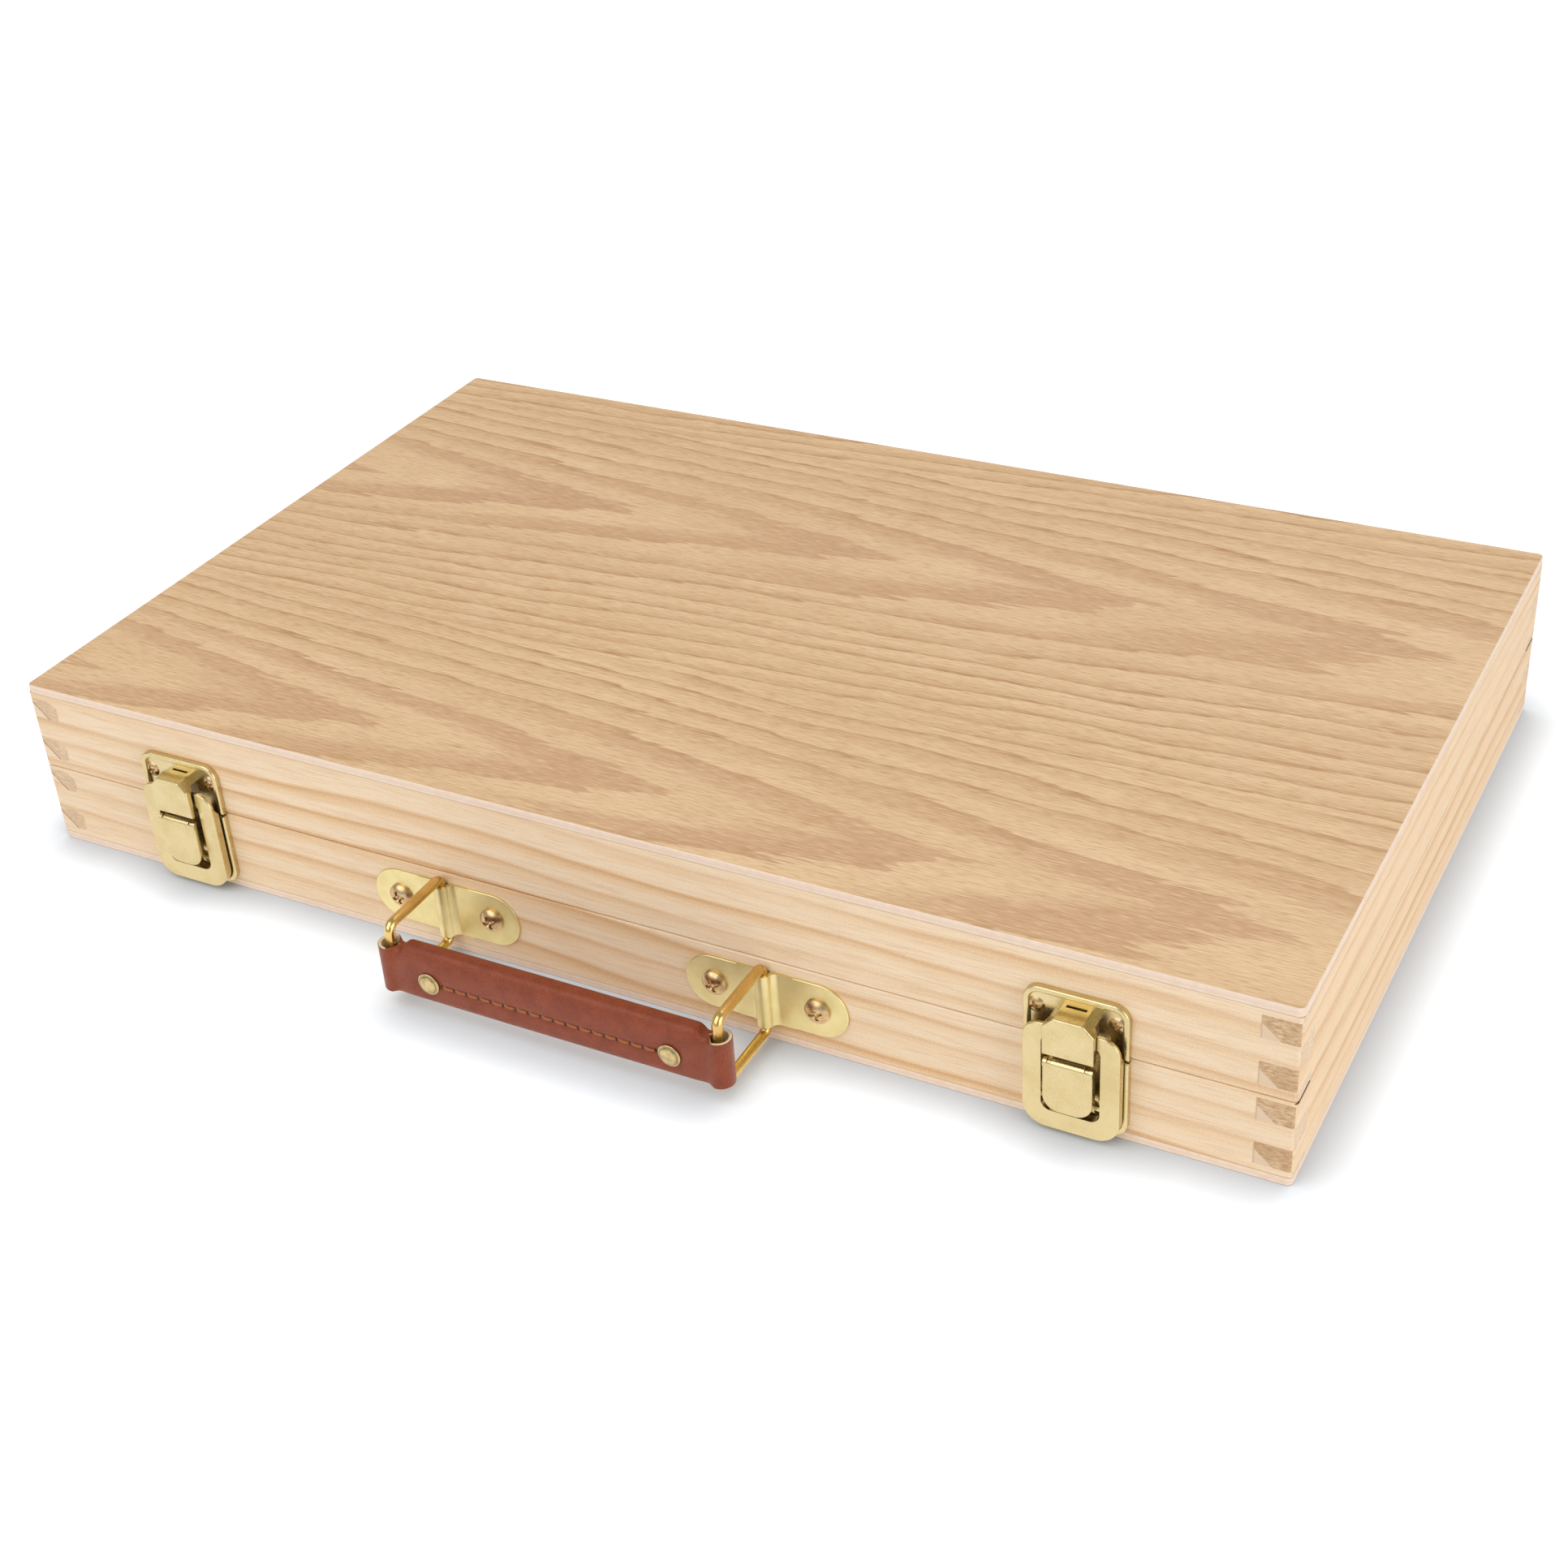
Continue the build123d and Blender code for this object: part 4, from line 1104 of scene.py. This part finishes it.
    def add_stitch(self, form: bmesh.types.BMesh, side: int, place: Vector) -> None:
        """Add one stitch.

        Args:
            form: The mesh to add to.
            side: -1 for the front face of the grip and 1 for its back.
            place: The middle of the stitch at the leather's surface.
        """
        bow = self.stitch_pitch * self.stitch_bow
        sweep = side * math.radians(self.stitch_sweep)
        slant = -side * math.radians(self.stitch_slant)
        circle = {"segments": self.thread_sides, "radius": self.thread_radius, "cap_ends": True}
        profile = bmesh.ops.create_circle(form, **circle)["verts"]
        bmesh.ops.rotate(form, verts=profile, matrix=Matrix.Rotation(math.radians(90), 3, "Y"))
        bmesh.ops.scale(form, verts=profile, vec=(1, 1, self.thread_flatness))
        bmesh.ops.translate(form, verts=profile, vec=(0, side * bow, 0))
        bmesh.ops.rotate(form, verts=profile, matrix=Matrix.Rotation(sweep / 2, 3, "Z"))
        swept = profile + list({face for vert in profile for face in vert.link_faces})
        bmesh.ops.spin(form, geom=swept, axis=(0, 0, 1), angle=-sweep, steps=self.stitch_steps)
        linked = self.linked_verts(profile[0])
        bmesh.ops.translate(form, verts=linked, vec=(0, -side * bow, 0))
        bmesh.ops.rotate(form, verts=linked, matrix=Matrix.Rotation(slant, 3, "Y"))
        bmesh.ops.translate(form, verts=linked, vec=place)

    def linked_verts(self, start: bmesh.types.BMVert) -> list[bmesh.types.BMVert]:
        """Every vertex that is joined to the given one by edges.

        Args:
            start: The vertex.

        Returns:
            The vertices, itself among them.
        """
        found = {start}
        waiting = [start]
        while waiting:
            for edge in waiting.pop().link_edges:
                for vert in edge.verts:
                    if vert not in found:
                        found.add(vert)
                        waiting.append(vert)
        return list(found)


def make_piece(
    name: str, form: bmesh.types.BMesh, solid: float = 0.0, subdivide: int = 0
) -> bpy.types.Object:
    """Turn a finished bmesh into a smooth object of the scene.

    Args:
        name: The piece's name.
        form: The mesh, already in metres and in place; it is freed.
        solid: Wall thickness in millimetres that is given inwards, or 0 for none.
        subdivide: Levels of subdivision.

    Returns:
        The object.
    """
    mesh = bpy.data.meshes.new(name)
    form.to_mesh(mesh)
    form.free()
    mesh.shade_smooth()
    piece = bpy.data.objects.new(name, mesh)
    bpy.context.scene.collection.objects.link(piece)
    if solid > 0:
        wall = piece.modifiers.new("wall", "SOLIDIFY")
        wall.thickness = solid * MM
        wall.offset = -1.0
        wall.material_offset = 1
        wall.material_offset_rim = 1
    if subdivide > 0:
        rounding = piece.modifiers.new("rounding", "SUBSURF")
        rounding.levels = rounding.render_levels = subdivide
    return piece


@dataclass
class Dresser:
    """Gives the CAD nodes their finishes.

    Attributes:
        grip: The handle's grip, whose stitches and rivets two of the finishes follow.
        finishes: The finished materials by their short names.
    """

    grip: Grip
    finishes: dict[str, Material] = field(default_factory=dict)

    def prepare(self) -> None:
        """Build every finish once."""
        finishes = {**self.woods(), **self.metals(), **self.soft_goods()}
        self.finishes = {key: finish.build() for key, finish in finishes.items()}

    def woods(self) -> dict[str, VeneerFinish | PineFinish]:
        """Settle the finishes of the panels and the rails.

        Returns:
            Each finish by its short name.
        """
        right_tones = {
            "pale": tone(238, 210, 174),
            "end_pale": tone(222, 194, 158),
            "end_dark": tone(186, 146, 106),
        }
        left_tones = {"end_pale": tone(234, 208, 176), "end_dark": tone(208, 176, 142)}
        wavy = {"unevenness": 2.6}
        length, width = Grain.ALONG_LENGTH, Grain.ALONG_WIDTH
        left_heart, right_heart, back_heart = (-0.215, -0.050), (0.215, -0.050), (0.105, -0.060)
        return {
            "panel": VeneerFinish("pine_faced_ply"),
            "lid_front": PineFinish("pine_lid_front", length, filler_level=0.0508),
            "base_front": PineFinish("pine_base_front", length, filler_level=0.0255),
            "back": PineFinish("pine_back", length, heart=back_heart, shift=3.7),
            "left": PineFinish("pine_left", width, heart=left_heart, shift=5.1, **wavy, **left_tones),
            "right": PineFinish("pine_right", width, heart=right_heart, shift=8.3, **wavy, **right_tones),
        }

    def metals(self) -> dict[str, MetalFinish]:
        """Settle the finishes of the fittings.

        Returns:
            Each finish by its short name.
        """
        rivet = {"roughness": 0.26, "cloud_scale": 700.0, "head_centres": self.grip.rivet_places}
        return {
            "brass": MetalFinish("pressed_brass", tone(216, 199, 154), tone(198, 176, 120)),
            # Painted light: the brackets get a lighter copy of the brass, standing in for a soft lamp in
            # front of them.
            "bracket": MetalFinish("bracket_brass_painted_light", tone(230, 216, 162), tone(206, 188, 128), 0.34),
            "wire": MetalFinish("brass_wire", tone(226, 194, 124), tone(190, 150, 82), 0.2),
            "rivet": MetalFinish("aged_brass_rivet", tone(210, 188, 138), tone(140, 116, 70), **rivet),
            "screw": MetalFinish("bronzed_screw", tone(212, 184, 140), tone(158, 122, 80), 0.24, 500.0),
        }

    def soft_goods(self) -> dict[str, LeatherFinish | ThreadFinish]:
        """Settle the finishes of the grip.

        Returns:
            Each finish by its short name.
        """
        return {
            "leather": LeatherFinish("grip_leather", stitching=self.grip.stitching),
            "core": LeatherFinish("core_fibre", tone(196, 172, 136), tone(170, 142, 106), roughness=0.7),
            "flesh": LeatherFinish("leather_flesh_side", tone(236, 222, 190), tone(206, 184, 146)),
            "thread": ThreadFinish("waxed_thread"),
        }

    def finish_of(self, node: str) -> Material:
        """Find the finish that a node gets, from its name.

        Args:
            node: The node's name.

        Returns:
            Its material.
        """
        if node.endswith("_rail"):
            tray, side, _ = node.split("_")
            return self.finishes[f"{tray}_front" if side == "front" else side]
        endings = {
            "_panel": "panel",
            "_bracket": "bracket",
            "_screws": "screw",
            "_loop": "wire",
            "_rivets": "rivet",
            "_core": "core",
            "_leather": "leather",
        }
        return self.finishes[next((key for end, key in endings.items() if node.endswith(end)), "brass")]

    def dress(self) -> None:
        """Put each node's finish in its only material slot."""
        for name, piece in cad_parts.items():
            piece.data.materials.clear()
            piece.data.materials.append(self.finish_of(name))
            LOG.info("dressed %s", name)


def main() -> None:
    """Build the studio and the pieces, and report each."""
    logging.basicConfig(level=logging.INFO, format="%(name)s: %(message)s")
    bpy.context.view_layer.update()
    Studio().build()
    grip = Grip()
    dresser = Dresser(grip)
    dresser.prepare()
    dresser.dress()
    grip.build(dresser.finishes["leather"], dresser.finishes["flesh"], dresser.finishes["thread"])
    bpy.context.scene.view_settings.view_transform = "Standard"


if __name__ == "__main__":
    main()
